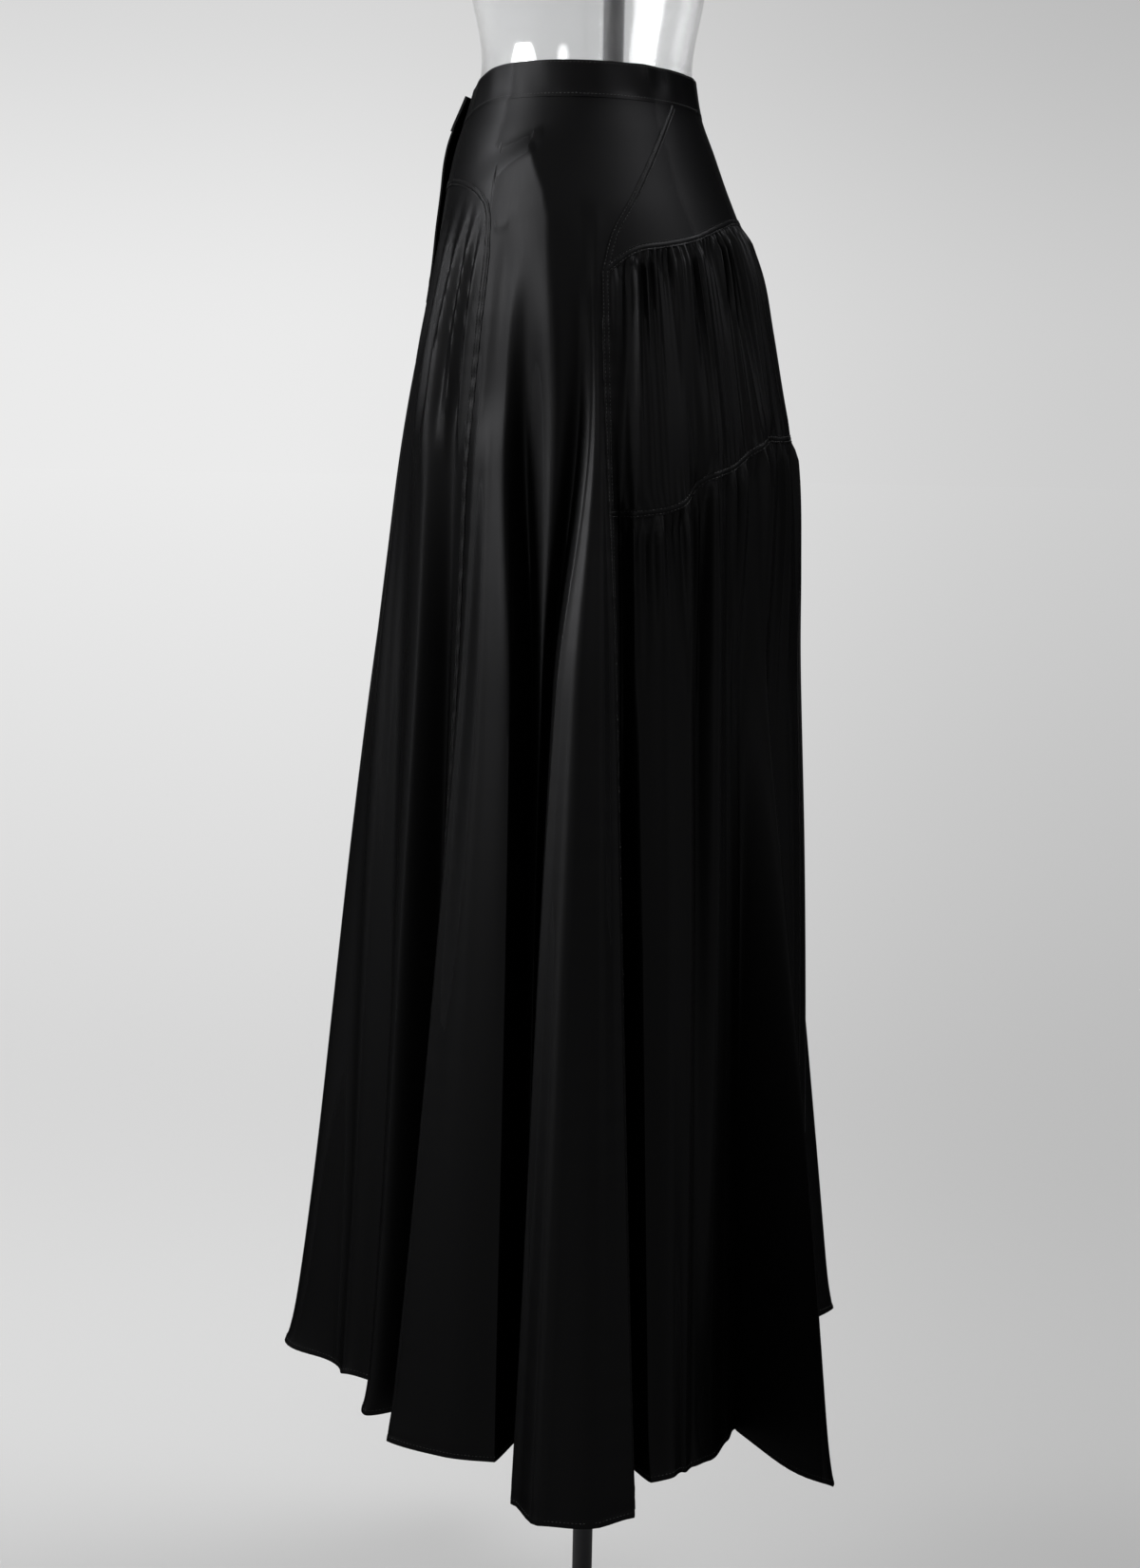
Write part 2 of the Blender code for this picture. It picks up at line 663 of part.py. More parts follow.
def turned_profile(name, profile, centre_y, material, segments=32):
    """Solid turned about an upright axis, from (radius, height) points, top to bottom."""
    built = bmesh.new()
    rings = []
    for radius, height in profile:
        ring = []
        for i in range(segments if radius > 0 else 1):
            turn = 2.0 * math.pi * i / segments
            place = (radius * math.cos(turn), centre_y + radius * math.sin(turn), height)
            ring.append(built.verts.new(place))
        rings.append(ring)
    for above, below in zip(rings, rings[1:]):
        for i in range(segments):
            j = (i + 1) % segments
            corners = [above[i % len(above)], below[i % len(below)]]
            corners += [below[j % len(below)], above[j % len(above)]]
            built.faces.new(list(dict.fromkeys(corners)))
    mesh = bpy.data.meshes.new(name)
    built.to_mesh(mesh)
    built.free()
    mesh.shade_smooth()
    mesh.set_sharp_from_angle(angle=math.radians(40.0))
    mesh.materials.append(material)
    made = bpy.data.objects.new(name, mesh)
    bpy.context.scene.collection.objects.link(made)
    return made


def add_button(name, surface, angle, height, material):
    """Flat button with a raised rim, lying on the cloth at an angle and a height."""
    out = surface_normals(surface, np.array([angle]), np.array([height]))[0]
    centre = surface(np.array([angle]), np.array([height]))[0]
    spread = np.degrees(BUTTON_RADIUS / FRONT_RADIUS)
    rim_angles = angle + spread * np.cos(np.linspace(0, 2 * math.pi, 13))
    rim_heights = height + BUTTON_RADIUS * np.sin(np.linspace(0, 2 * math.pi, 13))
    lift = float(np.max((surface(rim_angles, rim_heights) - centre) @ out))
    profile = (
        (0.0, BUTTON_THICKNESS - BUTTON_RIM),
        (BUTTON_RADIUS * 0.66, BUTTON_THICKNESS - BUTTON_RIM),
        (BUTTON_RADIUS * 0.82, BUTTON_THICKNESS),
        (BUTTON_RADIUS * 0.95, BUTTON_THICKNESS - BUTTON_BEVEL),
        (BUTTON_RADIUS, BUTTON_THICKNESS * 0.6),
        (BUTTON_RADIUS * 0.9, 0.0),
        (0.0, 0.0),
    )
    made = turned_profile(name, profile, 0.0, material, segments=14)
    upright = np.array([0.0, 0.0, 1.0])
    across = np.cross(upright, out)
    across /= np.linalg.norm(across)
    along = np.cross(out, across)
    seat = centre + out * (max(lift, 0.0) + BUTTON_SEAT)
    frame = np.eye(4)
    frame[:3, 0] = across
    frame[:3, 1] = along
    frame[:3, 2] = out
    frame[:3, 3] = seat
    made.matrix_world = Matrix([list(map(float, row)) for row in frame])
    return made


def form_torso(material):
    """Clear shell of the torso, open below, with a hole for the pole in its top."""
    levels = sorted((row.height for row in FORM_SECTIONS), reverse=True)
    angles = np.linspace(0.0, 360.0, FORM_COLUMNS, endpoint=False)
    hole = SPIGOT_RADIUS + SPIGOT_CLEARANCE
    top = levels[0]
    inner_top = top - FORM_THICKNESS
    outer = [form_ring(angles, level, 0.0) for level in levels]
    inner = [form_ring(angles, level, FORM_THICKNESS) for level in levels[1:]]
    inner_lid = form_ring(angles, inner_top, FORM_THICKNESS)
    neck_hole = [pole_ring(angles, hole, inner_top), pole_ring(angles, hole, top)]
    rings = outer + inner[::-1] + [inner_lid] + neck_hole
    count = FORM_COLUMNS
    faces = []
    for ring in range(len(rings)):
        below = (ring + 1) % len(rings)
        for i in range(count):
            j = (i + 1) % count
            faces.append(
                (ring * count + i, below * count + i, below * count + j, ring * count + j)
            )
    return add_object("form_torso", np.vstack(rings), faces, material)


def form_ring(angles, height, inward):
    """Ring of the torso form at a height, drawn in by a wall thickness."""
    radius = oval_radius(FORM_SECTIONS, angles, np.full(len(angles), height)) - inward
    return ring_point(angles, radius, np.full(len(angles), height))


def pole_ring(angles, radius, height):
    """Ring round the pole's axis."""
    turn = np.radians(angles)
    x = radius * np.sin(turn)
    y = -radius * np.cos(turn)
    return np.stack([x, y, np.full(len(angles), height)], axis=-1)


def stand_pieces(steel):
    """Floor plate, pole with its neck flange, and the cap on the neck."""
    neck_top = FORM_SECTIONS[-1].height
    flange_top = neck_top - FORM_THICKNESS - SEAM_GAP
    turned_profile(
        "form_base",
        (
            (0.0, BASE_THICKNESS),
            (POLE_RADIUS + SEAM_GAP, BASE_THICKNESS),
            (POLE_RADIUS + SEAM_GAP, COLLAR_TOP),
            (COLLAR_RADIUS - COLLAR_EDGE, COLLAR_TOP),
            (COLLAR_RADIUS, COLLAR_TOP - COLLAR_EDGE),
            (COLLAR_RADIUS, BASE_THICKNESS),
            (BASE_RADIUS - BASE_EDGE, BASE_THICKNESS),
            (BASE_RADIUS, BASE_THICKNESS - BASE_EDGE),
            (BASE_RADIUS, 0.0),
            (0.0, 0.0),
        ),
        0.0,
        steel,
        segments=32,
    )
    turned_profile(
        "form_pole",
        (
            (0.0, neck_top),
            (SPIGOT_RADIUS, neck_top),
            (SPIGOT_RADIUS, flange_top),
            (FLANGE_RADIUS, flange_top),
            (FLANGE_RADIUS, flange_top - FLANGE_THICKNESS),
            (POLE_RADIUS, flange_top - FLANGE_THICKNESS),
            (POLE_RADIUS, POLE_BOTTOM),
            (0.0, POLE_BOTTOM),
        ),
        0.0,
        steel,
        segments=20,
    )
    cap_bottom = neck_top + SEAM_GAP
    turned_profile(
        "form_neck_cap",
        (
            (0.0, cap_bottom + CAP_THICKNESS),
            (CAP_RADIUS - CAP_EDGE, cap_bottom + CAP_THICKNESS),
            (CAP_RADIUS, cap_bottom + CAP_THICKNESS - CAP_EDGE),
            (CAP_RADIUS, cap_bottom),
            (0.0, cap_bottom),
        ),
        BODY_AXIS_Y,
        steel,
        segments=24,
    )


def make_material(name, colour, roughness, metallic=0.0, transmission=0.0):
    """Principled material."""
    made = bpy.data.materials.new(name)
    made.use_nodes = True
    shader = made.node_tree.nodes["Principled BSDF"]
    shader.inputs["Base Color"].default_value = (*colour, 1.0)
    shader.inputs["Roughness"].default_value = roughness
    shader.inputs["Metallic"].default_value = metallic
    shader.inputs["Transmission Weight"].default_value = transmission
    return made


def main():
    for old in list(bpy.data.objects):
        bpy.data.objects.remove(old)
    satin = make_material("black_satin", (0.012, 0.012, 0.013), 0.42)
    button = make_material("black_button", (0.01, 0.01, 0.01), 0.25)
    clear = make_material("clear_plastic", (0.95, 0.96, 0.96), 0.05, transmission=1.0)
    steel = make_material("black_steel", (0.02, 0.02, 0.02), 0.35, metallic=0.8)
    panel = [yoke_front_grid(), side_grid()]
    inset = [inset_grid()]
    cloth_piece("side_panel_left", panel, drape, satin)
    cloth_piece("side_panel_right", [turned_grid(patch) for patch in panel], drape, satin)
    cloth_piece("front_inset_left", inset, drape, satin)
    cloth_piece("front_inset_right", [turned_grid(patch) for patch in inset], drape, satin)
    cloth_piece("back_yoke", [back_yoke_grid()], drape, satin)
    upper = tier_grid(GATHER_SEAM, tier_seam_height, DROPS_UPPER)
    cloth_piece("back_tier_upper", [upper], upper_tier, satin)
    lower = tier_grid(TIER_SEAM, hem_height, DROPS_LOWER)
    cloth_piece("back_tier_lower", [lower], lower_tier, satin)
    cloth_piece("placket", [placket_grid()], placket_surface, satin)
    cloth_piece("waistband", [band_grid()], band_surface, satin, BAND_THICKNESS)
    lapped = 360.0 + BUTTON_ANGLE
    add_button("waistband_button", band_surface, lapped, BAND_BUTTON_HEIGHT, button)
    for number, height in enumerate(PLACKET_BUTTON_HEIGHTS, start=1):
        name = f"placket_button_{number}"
        add_button(name, placket_surface, BUTTON_ANGLE, height, button)
    form_torso(clear)
    stand_pieces(steel)


main()
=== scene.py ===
"""Looks of a black satin button-front maxi skirt on a clear limbless torso form.

Metres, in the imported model's frame: +Z up, the front faces -Y and the wearer's left
side faces +X. Angles are in degrees round the body's axis: 0 is the centre front, 90
the wearer's left side and 180 the centre back. A point of the cloth is named by the
hip angle that it hangs from and its height, and skirt_surface() gives its place.
"""

import math
from collections import namedtuple

import bpy
import numpy as np
from mathutils import Matrix, Vector

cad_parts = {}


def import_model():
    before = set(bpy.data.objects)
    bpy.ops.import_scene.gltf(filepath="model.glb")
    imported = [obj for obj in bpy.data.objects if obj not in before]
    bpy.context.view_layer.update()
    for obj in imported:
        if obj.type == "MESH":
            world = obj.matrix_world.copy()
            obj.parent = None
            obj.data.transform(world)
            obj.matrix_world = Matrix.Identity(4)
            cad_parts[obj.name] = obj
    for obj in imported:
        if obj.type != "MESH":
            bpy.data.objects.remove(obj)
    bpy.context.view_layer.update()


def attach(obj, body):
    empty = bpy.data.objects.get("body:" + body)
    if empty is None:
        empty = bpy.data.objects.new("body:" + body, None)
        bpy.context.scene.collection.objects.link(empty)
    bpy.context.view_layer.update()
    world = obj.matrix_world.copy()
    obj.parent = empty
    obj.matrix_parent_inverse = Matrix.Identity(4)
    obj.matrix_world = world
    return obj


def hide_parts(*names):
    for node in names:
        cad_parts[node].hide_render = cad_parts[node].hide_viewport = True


# Body axis, cloth and levels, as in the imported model
BODY_AXIS_Y = -0.022
BAND_THICKNESS = 0.0022
PANEL_THICKNESS = 0.0015
WAIST_TOP = 1.244
WAIST_SEAM = 1.218
FOLD_START = 1.120
THIGH_LEVEL = 0.980
KNEE_LEVEL = 0.800
HEM_LEVEL = 0.260

# The waist dips to the centre front by this much, between these angles
FRONT_DIP = 0.012
DIP_END = 64.0
DIP_FULL = 14.0

# Walls that show
SATIN_WALL = 0.0009
BAND_WALL = 0.0019
EDGE_GAP = 0.00015
SEAM_TUCK = 0.0010


def table(kind, rows):
    """Rows of numbers as rows of a named kind."""
    return tuple(kind(*row) for row in rows)


Section = namedtuple("Section", "height front back side")

# Half depths in front of and behind the axis, and half width, of the skirt's outside
SKIRT_SECTIONS = table(Section, (
    (1.260, 0.0770, 0.0820, 0.1150), (1.244, 0.0795, 0.0845, 0.1175),
    (1.218, 0.0860, 0.0895, 0.1225), (1.192, 0.0945, 0.0995, 0.1300),
    (1.163, 0.1005, 0.1105, 0.1390), (1.139, 0.1040, 0.1205, 0.1460),
    (1.104, 0.1092, 0.1350, 0.1530), (1.060, 0.1178, 0.1450, 0.1600),
    (1.016, 0.1262, 0.1540, 0.1640), (0.972, 0.1335, 0.1635, 0.1680),
    (0.883, 0.1450, 0.1726, 0.1740), (0.795, 0.1560, 0.1770, 0.1800),
    (0.663, 0.1700, 0.1840, 0.1920), (0.530, 0.1820, 0.1890, 0.2040),
    (0.398, 0.1940, 0.1926, 0.2160), (0.240, 0.2120, 0.1980, 0.2300),
))

# The same for the clear torso form
FORM_SECTIONS = table(Section, (
    (1.015, 0.1030, 0.1310, 0.1450), (1.060, 0.1060, 0.1350, 0.1480),
    (1.104, 0.1030, 0.1300, 0.1470), (1.163, 0.0960, 0.1050, 0.1330),
    (1.192, 0.0900, 0.0945, 0.1260), (1.218, 0.0834, 0.0869, 0.1199),
    (1.244, 0.0769, 0.0819, 0.1149), (1.310, 0.0860, 0.0900, 0.1220),
    (1.400, 0.1080, 0.0980, 0.1420), (1.490, 0.1030, 0.0990, 0.1600),
    (1.560, 0.0820, 0.0840, 0.1480), (1.600, 0.0640, 0.0640, 0.0950),
    (1.625, 0.0560, 0.0560, 0.0600), (1.660, 0.0540, 0.0540, 0.0560),
))

Fold = namedtuple(
    "Fold",
    "hip_angle thigh_angle thigh_radius knee_angle knee_radius hem_angle hem_radius hem_height",
)

# Ridges and hollows of the wearer's left half, from the centre front to the centre back
FOLDS = table(Fold, (
    (0.0, 0.0, 0.1325, 0.0, 0.1565, 1.0, 0.2160, 0.249),
    (15.0, 14.0, 0.1330, 14.0, 0.1510, 17.0, 0.1750, 0.246),
    (31.0, 30.0, 0.1340, 29.5, 0.1410, 27.5, 0.1500, 0.242),
    (49.0, 47.4, 0.1470, 46.0, 0.1530, 41.0, 0.1770, 0.236),
    (58.5, 56.0, 0.1400, 51.5, 0.1320, 48.5, 0.1360, 0.236),
    (67.4, 63.0, 0.1480, 59.5, 0.1460, 51.5, 0.1610, 0.235),
    (71.0, 68.5, 0.1560, 65.6, 0.1620, 55.5, 0.1940, 0.234),
    (73.7, 72.5, 0.1590, 74.0, 0.1770, 69.0, 0.1930, 0.233),
    (76.5, 76.0, 0.1610, 81.0, 0.1840, 81.0, 0.1900, 0.232),
    (81.5, 81.0, 0.1500, 84.3, 0.1530, 83.6, 0.1420, 0.230),
    (88.5, 90.0, 0.1690, 88.0, 0.1760, 84.9, 0.1470, 0.229),
    (94.0, 95.0, 0.1600, 89.9, 0.1660, 86.0, 0.1520, 0.228),
    (97.5, 98.3, 0.1690, 92.0, 0.2000, 87.6, 0.2410, 0.226),
    (98.4, 99.3, 0.1715, 96.0, 0.2100, 92.5, 0.2700, 0.224),
    (99.5, 100.5, 0.1720, 100.5, 0.2070, 100.0, 0.2750, 0.224),
    (100.6, 101.8, 0.1705, 103.7, 0.1950, 106.6, 0.2650, 0.226),
    (104.8, 105.6, 0.1620, 107.3, 0.1660, 109.6, 0.1740, 0.232),
    (108.8, 109.3, 0.1710, 110.8, 0.1790, 112.2, 0.2230, 0.233),
    (114.0, 115.0, 0.1710, 117.0, 0.1840, 116.5, 0.2280, 0.233),
    (119.5, 120.5, 0.1720, 122.0, 0.1850, 119.8, 0.2200, 0.234),
    (124.5, 125.5, 0.1660, 127.0, 0.1670, 122.8, 0.2120, 0.235),
    (130.0, 130.5, 0.1720, 131.0, 0.1810, 126.8, 0.2070, 0.236),
    (136.0, 136.0, 0.1680, 136.5, 0.1710, 134.0, 0.1980, 0.238),
    (141.0, 141.0, 0.1670, 141.5, 0.1690, 140.5, 0.1870, 0.238),
    (147.5, 147.0, 0.1730, 146.5, 0.1820, 137.7, 0.2870, 0.232),
    (152.5, 152.0, 0.1680, 151.8, 0.1720, 146.5, 0.1940, 0.238),
    (159.5, 159.0, 0.1610, 158.0, 0.1610, 156.0, 0.1540, 0.244),
    (169.0, 169.0, 0.1650, 169.0, 0.1750, 170.0, 0.1900, 0.248),
    (180.0, 180.0, 0.1627, 180.0, 0.1767, 180.0, 0.1970, 0.249),
))
RIGHT_SWAY_DEGREES = 2.2
RIGHT_SWAY_RADIUS = 0.035

SeamPoint = namedtuple("SeamPoint", "angle height")

# Curved front seam, from the centre front to the top of the side front seam
FRONT_SEAM = table(SeamPoint, (
    (0.0, 1.161), (45.0, 1.161), (51.3, 1.1585), (58.9, 1.1525),
    (63.0, 1.146), (65.8, 1.137), (67.0, 1.123), (67.4, 1.105),
))
# Diagonal seam of the back yoke, from the waist down to the yoke's corner
YOKE_SEAM = table(SeamPoint, (
    (134.7, 1.218), (126.0, 1.199), (117.5, 1.173), (110.0, 1.145),
    (104.5, 1.122), (101.5, 1.095),
))
# Gathered seam under the yoke, and the seam between the tiers, to the centre back
GATHER_SEAM = table(SeamPoint, (
    (101.5, 1.095), (108.8, 1.109), (120.4, 1.116), (129.9, 1.121),
    (142.4, 1.130), (159.0, 1.138), (180.0, 1.140),
))
TIER_SEAM = table(SeamPoint, (
    (101.5, 0.9255), (110.0, 0.9265), (118.0, 0.9320), (128.0, 0.9525),
    (137.0, 0.9595), (148.0, 0.9770), (165.0, 0.9800), (180.0, 0.9810),
))
CORNER = YOKE_SEAM[-1]
SIDE_SEAM = FRONT_SEAM[-1]

# Gathers of the back tiers: how deep, how far they reach down, and the share lost there
GATHERS = 30
UPPER_GATHER_DEPTH = 0.0036
UPPER_GATHER_REACH = 0.24
UPPER_GATHER_LOST = 0.75
LOWER_GATHER_DEPTH = 0.0034
LOWER_GATHER_REACH = 0.30
LOWER_GATHER_LOST = 0.96
GATHER_RISE = 0.016
FINE_GATHERS = 71
FINE_GATHER_DEPTH = 0.0014
FINE_GATHER_LENGTH = 0.030
FINE_GATHER_RISE = 0.005
FINE_FOOT_DEPTH = 0.7
FINE_FOOT_LENGTH = 0.4
GATHER_SHARPNESS = 1.7
GATHER_LEVEL = 0.78
# Ranges of the uneven gathers: shares of the depth and the length, and their widths
GATHER_DEPTHS = (0.45, 1.35)
GATHER_LENGTHS = (0.25, 1.0)
GATHER_WIDTHS = (0.4, 1.9)

# Front overlap: the placket and the waistband's lapping end, right over left
LAP_START = -35.0
LAP_ROOT = -13.0
LAP_END = 6.0
UNDERLAP_START = -11.25
LAP_GAP = 0.0009
PLACKET_FOOT = 1.078
BAND_PROUD = 0.0004
BAND_EVEN = 0.006
BAND_STITCHES = (WAIST_TOP - 0.0016, WAIST_SEAM + 0.0022)
PLACKET_STITCHES = (LAP_ROOT + 1.2, LAP_END - 1.4)
# Soft bend of the waistband behind the hip: angle, width in degrees and share of its
# depth, of its ridge and of the hollow beside it, and its depth and rise
BAND_RIDGE = (119.0, 4.5, 1.0)
BAND_HOLLOW = (128.0, 5.0, -0.7)
BAND_BEND_DEPTH = 0.0022
BAND_BEND_RISE = 0.02
# Heights, and how far the overlap's free edge stands off there
LAP_STANDS = (
    (1.078, 0.0022), (1.103, 0.0036), (1.135, 0.0052), (1.160, 0.0058), (1.184, 0.0078),
    (1.206, 0.0084), (1.232, 0.0048),
)

Crease = namedtuple("Crease", "depth width round points start end", defaults=(0.28, 0.28))

# Soft ridges (depth above 0) and troughs of the left half: how deep and wide, how round
# at the top, the line from (angle, height) to (angle, height), and the shares of its
# length over which it rises and dies out
CREASES = table(Crease, (
    (
        0.0085, 0.0290, 0.0010,
        ((77.0, 1.1960), (80.4, 1.175), (84.6, 1.151), (86.4, 1.132), (87.4, 1.08), (88.6, 0.96)),
        0.10, 0.60,
    ),
    (0.0008, 0.0030, 0.0007, ((78.6, 1.1905), (83.0, 1.1925))),
    (-0.0008, 0.0040, 0.0010, ((79.6, 1.1860), (82.0, 1.178))),
    (0.0006, 0.0030, 0.0008, ((68.8, 1.1260), (72.0, 1.1265), (75.2, 1.129))),
    (-0.0034, 0.0110, 0.0060, ((75.0, 1.1400), (74.2, 1.100), (73.4, 1.040), (73.0, 0.960))),
    (-0.0010, 0.0060, 0.0020, ((94.5, 1.1500), (96.0, 1.120), (96.8, 1.075))),
    (0.0010, 0.0045, 0.0012, ((99.5, 1.1420), (99.0, 1.115), (98.6, 1.070))),
    (0.0036, 0.0052, 0.0008, ((65.0, 1.1360), (63.4, 1.100), (62.2, 1.040), (61.6, 0.950))),
    (-0.0032, 0.0042, 0.0008, ((63.8, 1.1420), (61.4, 1.105), (59.8, 1.050), (59.0, 0.970))),
    (0.0042, 0.0056, 0.0009, ((62.2, 1.1460), (58.6, 1.110), (56.4, 1.050), (55.0, 0.950))),
    (-0.0032, 0.0048, 0.0009, ((59.6, 1.1500), (55.4, 1.115), (52.6, 1.050), (51.5, 0.960))),
    (0.0036, 0.0060, 0.0010, ((57.4, 1.1520), (51.6, 1.110), (48.0, 1.040), (46.4, 0.930))),
    (-0.0026, 0.0054, 0.0010, ((53.0, 1.1540), (46.5, 1.115), (42.5, 1.050), (41.0, 0.960))),
    (0.0028, 0.0064, 0.0012, ((49.0, 1.1560), (41.5, 1.115), (37.0, 1.045), (35.0, 0.940))),
    (-0.0020, 0.0060, 0.0014, ((42.0, 1.1560), (34.0, 1.110), (29.0, 1.030))),
    (0.0020, 0.0070, 0.0016, ((34.0, 1.1540), (26.0, 1.100), (22.0, 1.000))),
))
CREASE_RADIUS = 0.145
CREASE_REACH = 5.0
RIGHT_CREASE_SHARE = 0.8
RIGHT_CREASE_UNEVEN = 0.35
RIGHT_CREASE_SHIFT = 0.004

# Long uneven undulations of the hanging cloth: waves round the body, how far they
# drift down the cloth, phase and height
Streak = namedtuple("Streak", "waves drift phase depth")
STREAKS = (
    Streak(23, 1.3, 0.4, 0.00060),
    Streak(37, -2.1, 1.9, 0.00035),
    Streak(59, 1.7, 3.1, 0.00014),
)
STREAK_TOP = 1.115
STREAK_RISE = 0.20

# Puckers along the sewn seams
PUCKER_DEPTH = 0.00030
PUCKER_LENGTH = 0.019
PUCKER_REACH = 0.009
PUCKER_RISE = 0.05

# Rolled hem
HEM_BAND = 0.0052
HEM_RISE = 0.00045
HEM_STEP = 0.0006
HEM_ROLL = 0.0012
HEM_KICK = 0.0055
HEM_KICK_HEIGHT = 0.016
HEM_SAG = 0.007
HEM_SAG_ANGLE = 144.6
HEM_SAG_WIDTH = 1.7
HEM_STITCHES = HEM_BAND - 0.0012

# Small waves round the hem's line and on the waistband, with their drift up the cloth
Wave = namedtuple("Wave", "depth count phase drift")
HEM_WAVES = table(Wave, ((0.0016, 13.0, 1.1, 0.0), (0.0011, 31.0, 2.3, 0.0)))
BAND_WAVES = table(Wave, ((0.00035, 9.0, 0.6, 0.0), (0.00022, 23.0, 0.0, 60.0)))

# Sewn seams: raised bands with two rows of stitches
SEAM_HALF_WIDTH = 0.0030
SEAM_STEP = 0.003
SEAM_LIFT = 0.00060
SEAM_UNEVEN = 0.25
STITCH_ROW = 0.0017
STITCH_PITCH = 0.0028
STITCH_LENGTH = 0.0021
STITCH_WIDTH = 0.00055
STITCH_HEIGHT = 0.00022

# Across a seam band: share of its half width, and share of its lift
SEAM_PROFILE = (
    (-1.0, -1.5), (-0.92, 0.8), (-0.72, 1.0), (-0.57, 0.55), (-0.42, 1.0), (0.0, 1.2),
    (0.42, 1.0), (0.57, 0.55), (0.72, 1.0), (0.92, 0.8), (1.0, -1.5),
)

# Faces of a stitch between its start, end, two sides, top and underside
LOZENGE = ((0, 4, 2), (2, 4, 1), (1, 4, 3), (3, 4, 0), (0, 2, 5), (2, 1, 5), (1, 3, 5), (3, 0, 5))

# Mesh fineness
INSET_COLUMNS = (0, 5, 10, 15, 20.5, 26, 31, 37, 43, 49, 52.5, 55.5, 58.5, 61.5, 64, 66.2, 67.4)
SIDE_COLUMNS = (
    67.4, 68.6, 69.8, 71, 72.4, 73.7, 75.1, 76.5, 78.2, 79.8, 81.5, 83.8, 86.2, 88.5,
    91.2, 94, 95.2, 96.4, 97.5, 98.4, 99.5, 100.6, 101.5,
)
COLUMN_PARTS = 5
HANG_ROWS = 120
YOKE_ROWS = 44
YOKE_COLUMNS = 140
TIER_COLUMNS = 420
UPPER_ROWS = 44
LOWER_ROWS = 88
HEM_ROWS = (0.0085, 0.0068, 0.0056, 0.0050, 0.0026, 0.0006)

# Buttons
BUTTON_RADIUS = 0.0075
BUTTON_THICKNESS = 0.0030
BUTTON_RIM = 0.0008
BUTTON_ANGLE = -7.5
BUTTON_SEAT = 0.0006
BAND_BUTTON_HEIGHT = 1.219
PLACKET_BUTTON_HEIGHTS = (1.188, 1.157, 1.127, 1.096)
FRONT_RADIUS = 0.09
BUTTON_HOLE_OFFSET = 0.0019
BUTTON_HOLE_RADIUS = 0.00085
THREAD_RADIUS = 0.00035

# Turned outline of a button: shares of its radius and its thickness, and the share of the
# rim's height that is taken off
BUTTON_PROFILE = (
    (0.0, 1.0, 1.0), (0.60, 1.0, 1.0), (0.70, 1.0, 0.7), (0.80, 1.0, 0.1), (0.88, 1.0, 0.0),
    (0.96, 1.0, 0.4), (1.0, 0.62, 0.0), (0.97, 0.3, 0.0), (0.9, 0.0, 0.0), (0.0, 0.0, 0.0),
)

# Torso form and stand
FORM_THICKNESS = 0.003
FORM_COLUMNS = 160
NECK_FOOT = 1.560
POLE_RADIUS = 0.008
POLE_BOTTOM = 0.0083
FLANGE_RADIUS = 0.026
FLANGE_THICKNESS = 0.004
SPIGOT_RADIUS = 0.006
SPIGOT_CLEARANCE = 0.001
CAP_RADIUS = 0.050
CAP_THICKNESS = 0.012
CAP_EDGE = 0.003
BASE_RADIUS = 0.125
BASE_THICKNESS = 0.008
BASE_EDGE = 0.002
COLLAR_RADIUS = 0.022
COLLAR_TOP = 0.045
COLLAR_EDGE = 0.003
FINE_EDGE = 0.0005
FIT_GAP = 0.0003

# Finishes of one colour: sewing thread duller than the satin, polished buttons, clear plastic
PLAIN_MATERIALS = {
    "black_thread": {
        "Base Color": (0.022, 0.022, 0.022, 1.0), "Roughness": 0.55, "Specular IOR Level": 0.10,
    },
    "black_button": {
        "Base Color": (0.008, 0.008, 0.008, 1.0), "Roughness": 0.16, "Specular IOR Level": 0.5,
    },
    "clear_plastic": {
        "Base Color": (0.90, 0.905, 0.91, 1.0), "Roughness": 0.07, "Transmission Weight": 1.0,
        "IOR": 1.49,
    },
}


def ease(share):
    """Smooth step from 0 to 1."""
    share = np.clip(share, 0.0, 1.0)
    return share * share * (3.0 - 2.0 * share)


def bell(share):
    """Bell-shaped rise that is 1 at 0."""
    return np.exp(-(share**2))


def wavy(waves, angle, height=0.0):
    """Sum of waves round the body."""
    turn = np.radians(angle)
    return sum(
        wave.depth * np.sin(wave.count * turn + (wave.phase + wave.drift * height))
        for wave in waves
    )


def hermite(t, width, start, start_slope, end, end_slope):
    """Cubic between two values with their slopes, at a share t of the width."""
    return (
        (2 * t**3 - 3 * t**2 + 1) * start
        + (t**3 - 2 * t**2 + t) * width * start_slope
        + (3 * t**2 - 2 * t**3) * end
        + (t**3 - t**2) * width * end_slope
    )


def smooth_curve(at, places, values):
    """Smooth cubic through the values; values may have several rows, one column a place."""
    places = np.asarray(places, float)
    values = np.asarray(values, float)
    at = np.clip(np.asarray(at, float), places[0], places[-1])
    slopes = np.gradient(values, places, axis=-1)
    left = np.clip(np.searchsorted(places, at, side="right") - 1, 0, len(places) - 2)
    width = places[left + 1] - places[left]
    return hermite(
        (at - places[left]) / width, width,
        values[..., left], slopes[..., left], values[..., left + 1], slopes[..., left + 1],
    )


def folded(angle):
    """Angle from the centre front, the same on both sides of the body."""
    return 180.0 - np.abs(180.0 - np.mod(angle, 360.0))


def waist_dip(angle):
    """How far the waist dips at an angle near the centre front."""
    return FRONT_DIP * ease((DIP_END - folded(angle)) / (DIP_END - DIP_FULL))


def seam_height(seam, angle):
    """Height of a seam at an angle, the same on both sides of the body."""
    return smooth_curve(folded(angle), *np.array(sorted(seam)).T)


